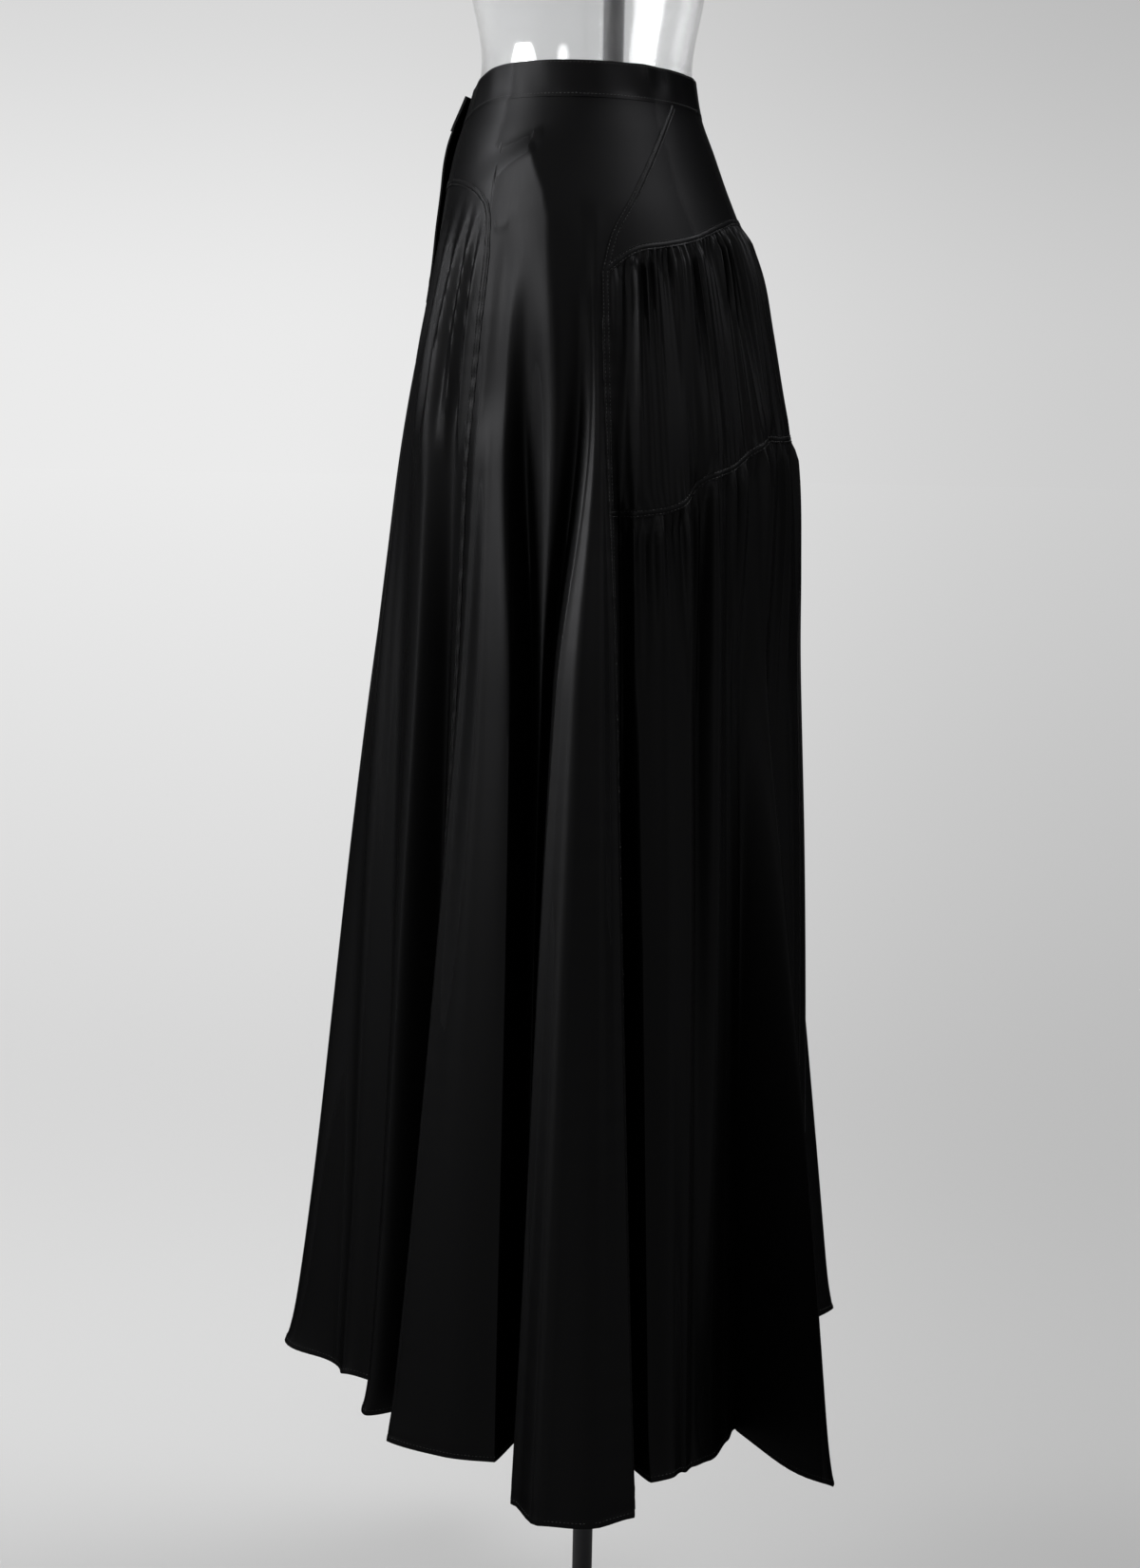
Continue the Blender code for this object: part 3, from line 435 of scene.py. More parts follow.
def oval_radius(sections, angle, height):
    """Radius of the sections' oval at an angle and a height."""
    places, *halves = np.array(sorted(sections)).T
    front, back, side = smooth_curve(height, places, halves)
    turn = np.radians(angle)
    depth = np.where(np.cos(turn) > 0, front, back)
    return 1.0 / np.sqrt((np.sin(turn) / side) ** 2 + (np.cos(turn) / depth) ** 2)


def mirrored_fold(fold):
    """The fold on the right half that matches one on the left, a little changed."""
    phase = math.radians(fold.hip_angle * 3.1)
    fade = math.sin(math.radians(fold.hip_angle))
    turn = RIGHT_SWAY_DEGREES * math.sin(phase + 0.7) * fade
    scale = 1.0 + RIGHT_SWAY_RADIUS * math.sin(phase * 1.6) * fade
    return Fold(
        360.0 - fold.hip_angle,
        360.0 - fold.thigh_angle,
        fold.thigh_radius,
        360.0 - fold.knee_angle - 0.5 * turn,
        fold.knee_radius * (1.0 + 0.4 * (scale - 1.0)),
        360.0 - fold.hem_angle - turn,
        fold.hem_radius * scale,
        fold.hem_height,
    )


def fold_rows():
    """Folds all round, with rows past each end so that the ring closes."""
    ring = np.array(FOLDS + tuple(mirrored_fold(fold) for fold in FOLDS[-2:0:-1]))
    whole_turn = np.array([360.0 if "angle" in name else 0.0 for name in Fold._fields])
    return np.vstack([ring[-1:] - whole_turn, ring, ring[:3] + whole_turn])


RING = fold_rows()
HIPS = RING[:, 0]
LEVELS = (HEM_LEVEL, KNEE_LEVEL, THIGH_LEVEL, FOLD_START)
FOLD_ANGLES = RING[:, [5, 3, 1, 0]]


def fold_offsets():
    """Each fold's distance outside the oval at the four levels."""
    offsets = np.zeros_like(FOLD_ANGLES)
    for level, radius in enumerate((6, 4, 2)):
        oval = oval_radius(SKIRT_SECTIONS, FOLD_ANGLES[:, level], LEVELS[level])
        offsets[:, level] = RING[:, radius] - oval
    return offsets


FOLD_OFFSETS = fold_offsets()


def level_curve(values, height):
    """Value at a height between the levels: still at the top, straight below the hem."""
    slopes = np.zeros_like(values)
    for level in (1, 2):
        span = LEVELS[level + 1] - LEVELS[level - 1]
        slopes[:, level] = (values[:, level + 1] - values[:, level - 1]) / span
    slopes[:, 0] = (values[:, 1] - values[:, 0]) / (LEVELS[1] - LEVELS[0])
    places = np.asarray(LEVELS)
    left = np.clip(np.searchsorted(places, height, side="right") - 1, 0, 2)
    width = places[left + 1] - places[left]
    row = np.arange(len(values))
    inside = hermite(
        (np.minimum(height, FOLD_START) - places[left]) / width, width,
        values[row, left], slopes[row, left], values[row, left + 1], slopes[row, left + 1],
    )
    below = values[:, 0] + slopes[:, 0] * (height - LEVELS[0])
    return np.where(height < LEVELS[0], below, inside)


def between_folds(hip_angle):
    """Row before a hip angle, the share of the way to the next row, and that share eased."""
    row = np.clip(np.searchsorted(HIPS, hip_angle, side="right") - 1, 0, len(HIPS) - 2)
    share = (hip_angle - HIPS[row]) / (HIPS[row + 1] - HIPS[row])
    return row, share, ease(share)


def hem_height(hip_angle):
    """Height of the slightly wavy hem where the cloth hangs from a hip angle."""
    row, _, eased = between_folds(hip_angle)
    sag = HEM_SAG * bell((folded(hip_angle) - HEM_SAG_ANGLE) / HEM_SAG_WIDTH)
    waves = wavy(HEM_WAVES, hip_angle) - sag
    return RING[row, 7] + (RING[row + 1, 7] - RING[row, 7]) * eased + waves


def ring_point(angle, radius, height, centre_y=BODY_AXIS_Y):
    """Point at an angle, a radius from an upright axis and a height."""
    turn = np.radians(angle)
    x = radius * np.sin(turn)
    y = centre_y - radius * np.cos(turn)
    return np.stack([x, y, np.broadcast_to(height, np.shape(x))], axis=-1)


def drape(hip_angle, height, outward=0.0):
    """Points of the skirt's large form, pushed outward by a further distance."""
    hip_angle, height = np.broadcast_arrays(
        np.asarray(hip_angle, float), np.asarray(height, float)
    )
    row, share, eased = between_folds(hip_angle)
    angle, angle_next, offset, offset_next = (
        level_curve(values[rows.ravel()], height.ravel()).reshape(row.shape)
        for values in (FOLD_ANGLES, FOLD_OFFSETS)
        for rows in (row, row + 1)
    )
    hanging = height < FOLD_START
    turn = np.where(hanging, angle + (angle_next - angle) * share, hip_angle)
    push = np.where(hanging, offset + (offset_next - offset) * eased, 0.0)
    radius = oval_radius(SKIRT_SECTIONS, turn, height) + push + outward
    return ring_point(turn, radius, height)


def gather_tables(seed):
    """Depth, length and start of each gather, uneven."""
    chance = np.random.default_rng(seed)
    depth = chance.uniform(*GATHER_DEPTHS, GATHERS + 2)
    length = chance.uniform(*GATHER_LENGTHS, GATHERS + 2)
    starts = np.concatenate([[0.0], np.cumsum(chance.uniform(*GATHER_WIDTHS, GATHERS))])
    return depth, length, starts / starts[-1]


UPPER_GATHERS = gather_tables(11)
LOWER_GATHERS = gather_tables(23)


def gather_relief(hip_angle, below, above, deep, tables, reach, lost):
    """Gathers under a seam: pinched at the seam, uneven, and dying out down the cloth."""
    share = (hip_angle - CORNER.angle) / (360.0 - 2.0 * CORNER.angle)
    phase = smooth_curve(share, tables[2], np.arange(GATHERS + 1.0))
    places = np.arange(GATHERS + 2) - 0.5
    depth = np.interp(phase, places, tables[0])
    length = np.interp(phase, places, tables[1]) * reach
    corners = ease(phase / 0.5) * ease((GATHERS - phase) / 0.5)
    wave = 0.5 + 0.5 * np.sin(2.0 * math.pi * phase)
    ridge = 2.0 * wave**GATHER_SHARPNESS - GATHER_LEVEL
    rise = ease(below / GATHER_RISE) * ease(above / GATHER_RISE)
    fade = 1.0 - lost * ease(below / length)
    main = deep * depth * fade * ridge * rise
    fine_wave = np.sin(2.0 * math.pi * FINE_GATHERS * share + 1.7 * np.sin(share * 57.0))
    near = np.exp(-np.maximum(below, 0.0) / FINE_GATHER_LENGTH)
    near_foot = np.exp(-np.maximum(above, 0.0) / (FINE_FOOT_LENGTH * FINE_GATHER_LENGTH))
    near_foot = FINE_FOOT_DEPTH * near_foot
    pinch = ease(below / FINE_GATHER_RISE) * ease(above / FINE_GATHER_RISE)
    fine = FINE_GATHER_DEPTH * fine_wave * (near + near_foot) * pinch
    return corners * (main + fine)


def tier_relief(hip_angle, height):
    """Gathers of both back tiers."""
    side = folded(hip_angle)
    gather_line = seam_height(GATHER_SEAM, np.maximum(side, CORNER.angle))
    tier_line = seam_height(TIER_SEAM, np.maximum(side, CORNER.angle))
    upper = gather_relief(
        hip_angle, gather_line - height, height - tier_line,
        UPPER_GATHER_DEPTH, UPPER_GATHERS, UPPER_GATHER_REACH, UPPER_GATHER_LOST,
    )
    lower = gather_relief(
        hip_angle, tier_line - height, 1.0,
        LOWER_GATHER_DEPTH, LOWER_GATHERS, LOWER_GATHER_REACH, LOWER_GATHER_LOST,
    )
    relief = np.where(height > tier_line, upper, lower)
    return np.where((side > CORNER.angle) & (height < gather_line), relief, 0.0)


def line_distance(x, z, points):
    """Distance from a polyline, and the share of its length at the nearest place."""
    spans = [math.hypot(b[0] - a[0], b[1] - a[1]) for a, b in zip(points, points[1:])]
    nearest = np.full(np.shape(x), np.inf)
    share = np.zeros(np.shape(x))
    done = 0.0
    for (ax, az), (bx, bz), span in zip(points, points[1:], spans):
        along = ((x - ax) * (bx - ax) + (z - az) * (bz - az)) / span**2
        along = np.clip(along, 0.0, 1.0)
        gap = np.hypot(x - ax - along * (bx - ax), z - az - along * (bz - az))
        closer = gap < nearest
        share = np.where(closer, (done + along * span) / sum(spans), share)
        nearest = np.where(closer, gap, nearest)
        done += span
    return nearest, share


def crease_relief(hip_angle, height):
    """Listed creases of the satin; the right half has softer ones of the same kind."""
    hip_angle, height = np.broadcast_arrays(hip_angle, height)
    angle = np.mod(hip_angle, 360.0)
    right = angle > 180.0
    x = np.radians(folded(angle)) * CREASE_RADIUS
    z = np.where(right, height + RIGHT_CREASE_SHIFT * np.sin(np.radians(angle) * 5.0), height)
    relief = np.zeros(np.shape(x))
    for number, crease in enumerate(CREASES):
        points = np.array([(math.radians(a) * CREASE_RADIUS, h) for a, h in crease.points])
        reach = CREASE_REACH * crease.width
        low, high = points.min(axis=0) - reach, points.max(axis=0) + reach
        near = (x > low[0]) & (x < high[0]) & (z > low[1]) & (z < high[1])
        if not near.any():
            continue
        gap, share = line_distance(x[near], z[near], points)
        rounded = np.sqrt(gap**2 + crease.round**2) - crease.round
        ends = ease(share / crease.start) * ease((1.0 - share) / crease.end)
        fade = ease((reach - gap) / reach)
        softer = RIGHT_CREASE_SHARE * (1.0 + RIGHT_CREASE_UNEVEN * math.sin(number * 2.4))
        depth = crease.depth * np.where(right[near], softer, 1.0)
        relief[near] += depth * ends * fade * np.exp(-rounded / crease.width)
    return relief


def streak_relief(hip_angle, height):
    """Long shallow undulations, none near the waist."""
    fall = ease((STREAK_TOP - height) / STREAK_RISE)
    turn = np.radians(hip_angle)
    relief = 0.0
    for streak in STREAKS:
        phase = streak.waves * turn + streak.drift * height * 3.0 + streak.phase
        swell = 0.6 + 0.4 * np.sin(streak.waves * 0.31 * turn + 2.0 * streak.phase)
        relief = relief + streak.depth * swell * np.sin(phase)
    return relief * fall


def pucker_relief(hip_angle, height):
    """Small ripples across the long seams."""
    side = folded(hip_angle)
    relief = 0.0
    for seam, phase in ((SIDE_SEAM, 0.0), (CORNER, 2.0)):
        gap = np.abs(np.radians(side - seam.angle)) * CREASE_RADIUS
        turn = 2.0 * math.pi * height / PUCKER_LENGTH + phase
        ripple = np.sin(turn + 2.0 * np.sin(height * 31.0))
        hang = ease((seam.height - height) / PUCKER_RISE)
        relief = relief + PUCKER_DEPTH * ripple * hang * np.exp(-gap / PUCKER_REACH)
    return relief


def hem_relief(hip_angle, height):
    """The rolled hem stands a little proud of the cloth, and kicks out unevenly."""
    above_hem = height - hem_height(np.mod(hip_angle, 360.0))
    edge = ease((HEM_BAND - above_hem) / HEM_STEP)
    roll = 0.35 + 0.65 * ease(above_hem / HEM_ROLL)
    uneven = 0.5 + 0.5 * np.sin(np.radians(hip_angle) * 17.0 + 0.8)
    kick = HEM_KICK * uneven * np.exp(-np.maximum(above_hem, 0.0) / HEM_KICK_HEIGHT)
    return HEM_RISE * edge * roll + kick


def skirt_surface(hip_angle, height, outward=0.0):
    """Points of the satin's outside."""
    place = np.broadcast_arrays(np.asarray(hip_angle, float), np.asarray(height, float))
    reliefs = (tier_relief, crease_relief, streak_relief, pucker_relief, hem_relief)
    return drape(*place, sum(relief(*place) for relief in reliefs) + outward)


def lap_push(angle, height):
    """How far the front overlap stands off the skirt at an angle past the left front."""
    stand = smooth_curve(height, *np.array(LAP_STANDS).T)
    root = PANEL_THICKNESS + LAP_GAP
    clear = root * ease((angle - LAP_START) / (LAP_ROOT - LAP_START))
    share = np.clip((angle - LAP_ROOT) / (LAP_END - LAP_ROOT), 0.0, 1.0)
    return clear + (stand - root) * share**1.6


def placket_surface(angle, height):
    """Outside of the placket."""
    return skirt_surface(angle, height, lap_push(angle, height))


def band_relief(angle, height):
    """Slight unevenness of the stiffened waistband, and its soft bend behind the hip."""
    above_foot = height + waist_dip(angle) - WAIST_SEAM
    waves = wavy(BAND_WAVES, angle, height) * ease(above_foot / BAND_EVEN)
    bend = sum(
        share * bell((angle - centre) / width) for centre, width, share in (BAND_RIDGE, BAND_HOLLOW)
    )
    return BAND_PROUD + waves + BAND_BEND_DEPTH * bend * ease(above_foot / BAND_BEND_RISE)


def band_surface(angle, height):
    """Outside of the waistband, whose turn past 360 degrees laps over its start."""
    past = np.asarray(angle, float) - 360.0
    layer = BAND_THICKNESS - PANEL_THICKNESS
    rise = layer * ease((past - LAP_START) / (UNDERLAP_START - LAP_START))
    push = np.where(past > LAP_START, lap_push(past, height) + rise, 0.0)
    return drape(np.mod(angle, 360.0), height, push + band_relief(angle, height))


def unit(vectors):
    """Vectors of length 1; those of length 0 stay so."""
    length = np.linalg.norm(vectors, axis=-1, keepdims=True)
    return np.divide(vectors, length, out=np.zeros_like(vectors), where=length > 0)


def surface_slopes(surface, angles, heights):
    """Steps along the surface for a degree and for a metre of height, and its normal."""
    turn, drop = 0.2, 0.0008
    along = surface(angles + turn, heights) - surface(angles - turn, heights)
    up = surface(angles, heights + drop) - surface(angles, heights - drop)
    return along / (2.0 * turn), up / (2.0 * drop), unit(np.cross(along, up))


def mesh_normals(points, triangles):
    """Unit normals at a mesh's points: each face counts by its angle at the point."""
    faces = np.asarray(triangles)
    a, b, c = (points[faces[:, corner]] for corner in range(3))
    face_normals = unit(np.cross(b - a, c - a))
    normals = np.zeros_like(points)
    for corner, (here, ahead, behind) in enumerate(((a, b, c), (b, c, a), (c, a, b))):
        cosine = np.sum(unit(ahead - here) * unit(behind - here), axis=1)
        angle = np.arccos(np.clip(cosine, -1.0, 1.0))
        np.add.at(normals, faces[:, corner], face_normals * angle[:, None])
    return unit(normals)


def triangles_of(patches):
    """Joins grids of (angle, height) along the points that they share."""
    found = {}
    triangles = []
    for patch in patches:
        numbers = []
        for row in patch:
            keys = [(round(float(angle), 4), round(float(height), 6)) for angle, height in row]
            for key, place in zip(keys, row):
                found.setdefault(key, (len(found), place))
            numbers.append([found[key][0] for key in keys])
        for above, below in zip(numbers, numbers[1:]):
            for i in range(len(above) - 1):
                triangles.append((above[i], below[i], below[i + 1]))
                triangles.append((above[i], below[i + 1], above[i + 1]))
    return np.array([place for _, place in found.values()], float), triangles


def open_edges(faces):
    """Directed edges that only one face has."""
    edges = {(a, b) for face in faces for a, b in zip(face, face[1:] + face[:1])}
    return [(a, b) for a, b in edges if (b, a) not in edges]


def finish_piece(made, material, nodes=()):
    """Gives a new piece its finish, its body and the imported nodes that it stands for."""
    made.data.materials.append(material)
    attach(made, "root")
    if nodes:
        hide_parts(*nodes)
    return made


def mesh_object(name, points, faces, uvs=None, sharp=40.0):
    """Smooth-shaded mesh object; uvs are in metres, a pair for each point."""
    mesh = bpy.data.meshes.new(name)
    mesh.from_pydata(np.asarray(points).tolist(), [], faces)
    mesh.update()
    if uvs is not None:
        layer = mesh.uv_layers.new(name="metres")
        corner_points = np.empty(len(mesh.loops), dtype=np.int32)
        mesh.loops.foreach_get("vertex_index", corner_points)
        layer.data.foreach_set("uv", np.asarray(uvs)[corner_points].ravel())
    mesh.shade_smooth()
    mesh.set_sharp_from_angle(angle=math.radians(sharp))
    made = bpy.data.objects.new(name, mesh)
    bpy.context.scene.collection.objects.link(made)
    return made


def satin_piece(name, patches, surface, wall):
    """Thin closed wall of satin: outside, inside and cut edges."""
    places, triangles = triangles_of(patches)
    outside = surface(places[:, 0], places[:, 1])
    normals = mesh_normals(outside, triangles)
    edges = open_edges(triangles)
    pull = np.zeros_like(outside)
    for a, b in edges:
        inward = unit(np.cross(normals[a] + normals[b], outside[b] - outside[a]))
        pull[a] += inward
        pull[b] += inward
    outside = outside + unit(pull) * EDGE_GAP
    count = len(outside)
    faces = list(triangles)
    faces += [(c + count, b + count, a + count) for a, b, c in triangles]
    faces += [(b, a, a + count, b + count) for a, b in edges]
    uvs = np.stack([np.radians(places[:, 0]) * CREASE_RADIUS, places[:, 1]], axis=1)
    points = np.vstack([outside, outside - normals * wall])
    return mesh_object(name, points, faces, np.vstack([uvs, uvs]))


def refine(values, parts):
    """Values with each step cut into equal parts."""
    fine = []
    for low, high in zip(values, values[1:]):
        fine += [low + (high - low) * part / parts for part in range(parts)]
    return np.array(fine + [values[-1]], float)


def yoke_line(down):
    """Angle and height on the diagonal seam, at a share of the way down."""
    places = np.linspace(0.0, 1.0, len(YOKE_SEAM))
    return tuple(float(value) for value in smooth_curve(down, places, np.array(YOKE_SEAM).T))


def hang_rows(top_height, rows):
    """Shares of the drop from a height to the hem, closer together at the hem band."""
    drop = top_height - float(hem_height(CORNER.angle))
    even = np.linspace(0.0, 1.0 - 0.011 / drop, rows)
    return list(even) + [1.0 - step / drop for step in HEM_ROWS] + [1.0]


def hung(columns, tops, feet, shares):
    """Grid of (angle, height) from one line down to another, at shares of the way."""
    return [list(zip(columns, tops + share * (feet - tops))) for share in shares]


def side_panel():
    """Side panel: its front yoke, and its side from the waist down to the hem."""
    yoke_shares = np.linspace(0.0, 1.0, YOKE_ROWS + 1)
    columns = refine(INSET_COLUMNS, COLUMN_PARTS)
    waist = WAIST_SEAM - waist_dip(columns)
    yoke = hung(columns, waist, seam_height(FRONT_SEAM, columns), yoke_shares)
    columns = refine(SIDE_COLUMNS, COLUMN_PARTS)
    start = columns[0]
    shares = (columns - start) / (columns[-1] - start)
    even = np.arange(len(columns)) / (len(columns) - 1)
    side = []
    for down in yoke_shares:
        angle, height = yoke_line(down)
        front = WAIST_SEAM + down * (SIDE_SEAM.height - WAIST_SEAM)
        across = (1.0 - down) * even + down * shares
        side.append(list(zip(start + across * (angle - start), front + across * (height - front))))
    tops = np.array([height for _, height in side[-1]])
    side += hung(columns, tops, hem_height(columns), hang_rows(CORNER.height, HANG_ROWS)[1:])
    return [yoke, side]


def inset_patch():
    """Front inset: from the curved seam down to the hem."""
    columns = refine(INSET_COLUMNS, COLUMN_PARTS)
    drops = hang_rows(CORNER.height, HANG_ROWS)
    return hung(columns, seam_height(FRONT_SEAM, columns), hem_height(columns), drops)


def turned_patch(patch):
    """The same grid on the right half: angles count back from 360."""
    return [[(360.0 - angle, height) for angle, height in reversed(row)] for row in patch]


def back_yoke_patch():
    """Back yoke: between the diagonal seams, from the waist to the gathered seam."""
    shares = np.linspace(0.0, 1.0, YOKE_COLUMNS + 1)
    low = seam_height(GATHER_SEAM, CORNER.angle + shares * (360.0 - 2.0 * CORNER.angle))
    patch = []
    for down in np.linspace(0.0, 1.0, YOKE_ROWS + 1):
        angle, height = yoke_line(down)
        places = angle + shares * (360.0 - 2.0 * angle)
        patch.append(list(zip(places, height + down * down * (low - CORNER.height))))
    return patch


def skirt_panels(satin):
    """The skirt's seven panels."""
    panel = side_panel()
    inset = [inset_patch()]
    across = np.linspace(CORNER.angle, 360.0 - CORNER.angle, TIER_COLUMNS + 1)
    tier_line = seam_height(TIER_SEAM, across)
    upper_drops = np.linspace(0.0, 1.0, UPPER_ROWS + 1)
    lower_drops = hang_rows(TIER_SEAM[0].height, LOWER_ROWS)
    upper = hung(across, seam_height(GATHER_SEAM, across), tier_line, upper_drops)
    lower = hung(across, tier_line, hem_height(across), lower_drops)
    made = {}
    for name, patches in (
        ("side_panel_left", panel),
        ("side_panel_right", [turned_patch(patch) for patch in panel]),
        ("front_inset_left", inset),
        ("front_inset_right", [turned_patch(patch) for patch in inset]),
        ("back_yoke", [back_yoke_patch()]),
        ("back_tier_upper", [upper]),
        ("back_tier_lower", [lower]),
    ):
        made[name] = satin_piece("satin_" + name, patches, skirt_surface, SATIN_WALL)
        finish_piece(made[name], satin, [name])
    return made


def waistband(satin):
    """Waistband with its lapping end."""
    angles = np.linspace(UNDERLAP_START, 360.0 + LAP_END, 330)
    heights = np.linspace(WAIST_TOP, WAIST_SEAM - 0.0003, 14)
    dips = waist_dip(angles)
    patch = [list(zip(angles, height - dips)) for height in heights]
    made = satin_piece("satin_waistband", [patch], band_surface, BAND_WALL)
    return finish_piece(made, satin, ["waistband"])


def placket(satin):
    """Placket, from its root on the right front to its free edge."""
    angles = np.linspace(LAP_ROOT, LAP_END, 40)
    heights = np.linspace(WAIST_SEAM - FRONT_DIP + SEAM_TUCK, PLACKET_FOOT, 90)
    patch = [[(angle, height) for angle in angles] for height in heights]
    made = satin_piece("satin_placket", [patch], placket_surface, SATIN_WALL * 1.5)
    return finish_piece(made, satin, ["placket"])


def path_ways(points):
    """Way along a path to each of its points."""
    steps = np.linalg.norm(np.diff(points, axis=0), axis=1)
    return np.concatenate([[0.0], np.cumsum(steps)])


def along_path(at, ways, values):
    """Rows of values that belong to a path's points, at other ways along it."""
    return np.stack([np.interp(at, ways, column) for column in values.T], axis=1)


def path_points(line, surface, pitch):
    """Places on the surface about a pitch apart along a line of (angle, height)."""
    line = np.array(line, float)
    ways = path_ways(surface(line[:, 0], line[:, 1]))
    count = max(2, int(round(ways[-1] / pitch)) + 1)
    return along_path(np.linspace(0.0, ways[-1], count), ways, line)


def beside(places, surface, across):
    """The same places moved sideways along the surface by a distance, and their normals."""
    angles, heights = places.T
    along, up, normal = surface_slopes(surface, angles, heights)
    forward = unit(np.gradient(surface(angles, heights), axis=0))
    aside = unit(np.cross(normal, forward)) * across
    steps = np.stack([along, up], axis=1)
    moved = np.linalg.solve(steps @ steps.transpose(0, 2, 1), steps @ aside[:, :, None])
    return surface(angles + moved[:, 0, 0], heights + moved[:, 1, 0]), normal


def seam_band(name, line, surface, satin):
    """Felled seam: a narrow band that stands a little proud of the cloth."""
    places = path_points(line, surface, SEAM_STEP)
    count = len(places)
    ripple = np.sin(np.arange(count) * 1.9) * np.sin(np.arange(count) * 0.43)
    rows = []
    for across, lift in SEAM_PROFILE:
        points, normals = beside(places, surface, across * SEAM_HALF_WIDTH)
        rows.append(points + normals * (SEAM_LIFT * lift * (1.0 + SEAM_UNEVEN * ripple))[:, None])
    faces = [
        (a, a + 1, a + count + 1, a + count)
        for row in range(len(rows) - 1)
        for a in range(row * count, (row + 1) * count - 1)
    ]
    made = mesh_object(name, np.vstack(rows), faces, sharp=60.0)
    return finish_piece(made, satin)


def stitch_row(points, normals, pitch=STITCH_PITCH, length=STITCH_LENGTH):
    """Points and faces of a row of stitches, small lozenges that lie along a path."""
    ways = path_ways(points)
    count = max(1, int(ways[-1] / pitch))
    at = (np.arange(count) + 0.5) * ways[-1] / count
    start, centre, end = (
        along_path(at + share * length, ways, points) for share in (-0.5, 0.0, 0.5)
    )
    normal = unit(along_path(at, ways, normals))
    across = unit(np.cross(normal, end - start)) * STITCH_WIDTH / 2
    rise = normal * STITCH_HEIGHT
    corners = np.stack(
        [start, end, centre + across, centre - across, centre + rise, centre - rise * 0.5], axis=1
    )
    faces = [tuple(6 * n + c for c in face) for n in range(count) for face in LOZENGE]
    return corners.reshape(-1, 3), faces


def stitches(name, rows, thread):
    """Rows of stitches joined in one piece."""
    points = []
    faces = []
    for row_points, row_faces in rows:
        base = sum(len(block) for block in points)
        points.append(row_points)
        faces += [tuple(corner + base for corner in face) for face in row_faces]
    made = mesh_object(name, np.vstack(points), faces, sharp=180.0)
    return finish_piece(made, thread)


def laid_row(surface, angles, heights):
    """Row of stitches on a surface, along places that lie close together."""
    return stitch_row(surface(angles, heights), surface_slopes(surface, angles, heights)[2])


def sewn_seam(name, line, satin, thread):
    """Felled seam and its two rows of stitches."""
    band = seam_band("seam_" + name, line, skirt_surface, satin)
    places = path_points(line, skirt_surface, 0.0015)
    rows = []
    for across in (-STITCH_ROW, STITCH_ROW):
        points, normals = beside(places, skirt_surface, across)
        rows.append(stitch_row(points + normals * SEAM_LIFT * 0.7, normals))
    return [band, stitches("stitches_" + name, rows, thread)]


def seam_lines():
    """Lines of the skirt's sewn seams, as (name, points), for the left half."""
    def to_hem(top):
        hem = float(hem_height(top.angle)) + 0.001
        return [(top.angle, height) for height in np.linspace(top.height, hem, 240)]

    front_angles = np.linspace(LAP_END + 0.6, SIDE_SEAM.angle, 90)
    curve = [(angle, float(seam_height(FRONT_SEAM, angle))) for angle in front_angles]
    diagonal = [yoke_line(down) for down in np.linspace(0.012, 1.0, 60)]
    return (
        ("front_curve", curve + to_hem(SIDE_SEAM)[1:]),
        ("yoke", diagonal),
        ("side_back", to_hem(CORNER)),
    )


def sewing(satin, thread):
    """Every felled seam, the hem's row and the rows of the waistband and the placket."""
    made = {}
    for name, line in seam_lines():
        made[name + "_left"] = sewn_seam(name + "_left", line, satin, thread)
        turned = [(360.0 - angle, height) for angle, height in line]
        made[name + "_right"] = sewn_seam(name + "_right", turned, satin, thread)
    across = np.linspace(CORNER.angle, 360.0 - CORNER.angle, 260)
    for name, seam in (("gather", GATHER_SEAM), ("tier", TIER_SEAM)):
        line = list(zip(across, seam_height(seam, across)))
        made[name] = sewn_seam(name, line, satin, thread)
    round_hem = np.linspace(0.0, 360.0, 900)
    round_band = np.linspace(UNDERLAP_START + 0.9, 360.0 + LAP_END - 0.9, 700)
    down = np.linspace(WAIST_SEAM - FRONT_DIP - 0.001, PLACKET_FOOT + 0.002, 120)
    rows = {
        "hem": [laid_row(skirt_surface, round_hem, hem_height(round_hem) + HEM_STITCHES)],
        "waistband": [
            laid_row(band_surface, round_band, height - waist_dip(round_band))
            for height in BAND_STITCHES
        ],
        "placket": [
            laid_row(placket_surface, np.full(len(down), angle), down)
            for angle in PLACKET_STITCHES
        ],
    }
    for name in rows:
        made[name] = [stitches("stitches_" + name, rows[name], thread)]
    return made


def turned_solid(name, profile, centre_y, segments):
    """Solid turned about an upright axis, from (radius, height) points, top to bottom."""
    points = []
    rings = []
    for radius, height in profile:
        count = segments if radius > 0 else 1
        turns = np.linspace(0.0, 2.0 * math.pi, count, endpoint=False)
        rings.append([len(points) + i for i in range(count)])
        points += [(radius * math.cos(t), centre_y + radius * math.sin(t), height) for t in turns]
    faces = []
    for above, below in zip(rings, rings[1:]):
        for i in range(segments):
            j = (i + 1) % segments
            corners = [above[i % len(above)], below[i % len(below)]]
            corners += [below[j % len(below)], above[j % len(above)]]
            faces.append(tuple(dict.fromkeys(corners)))
    return mesh_object(name, points, faces, sharp=35.0)


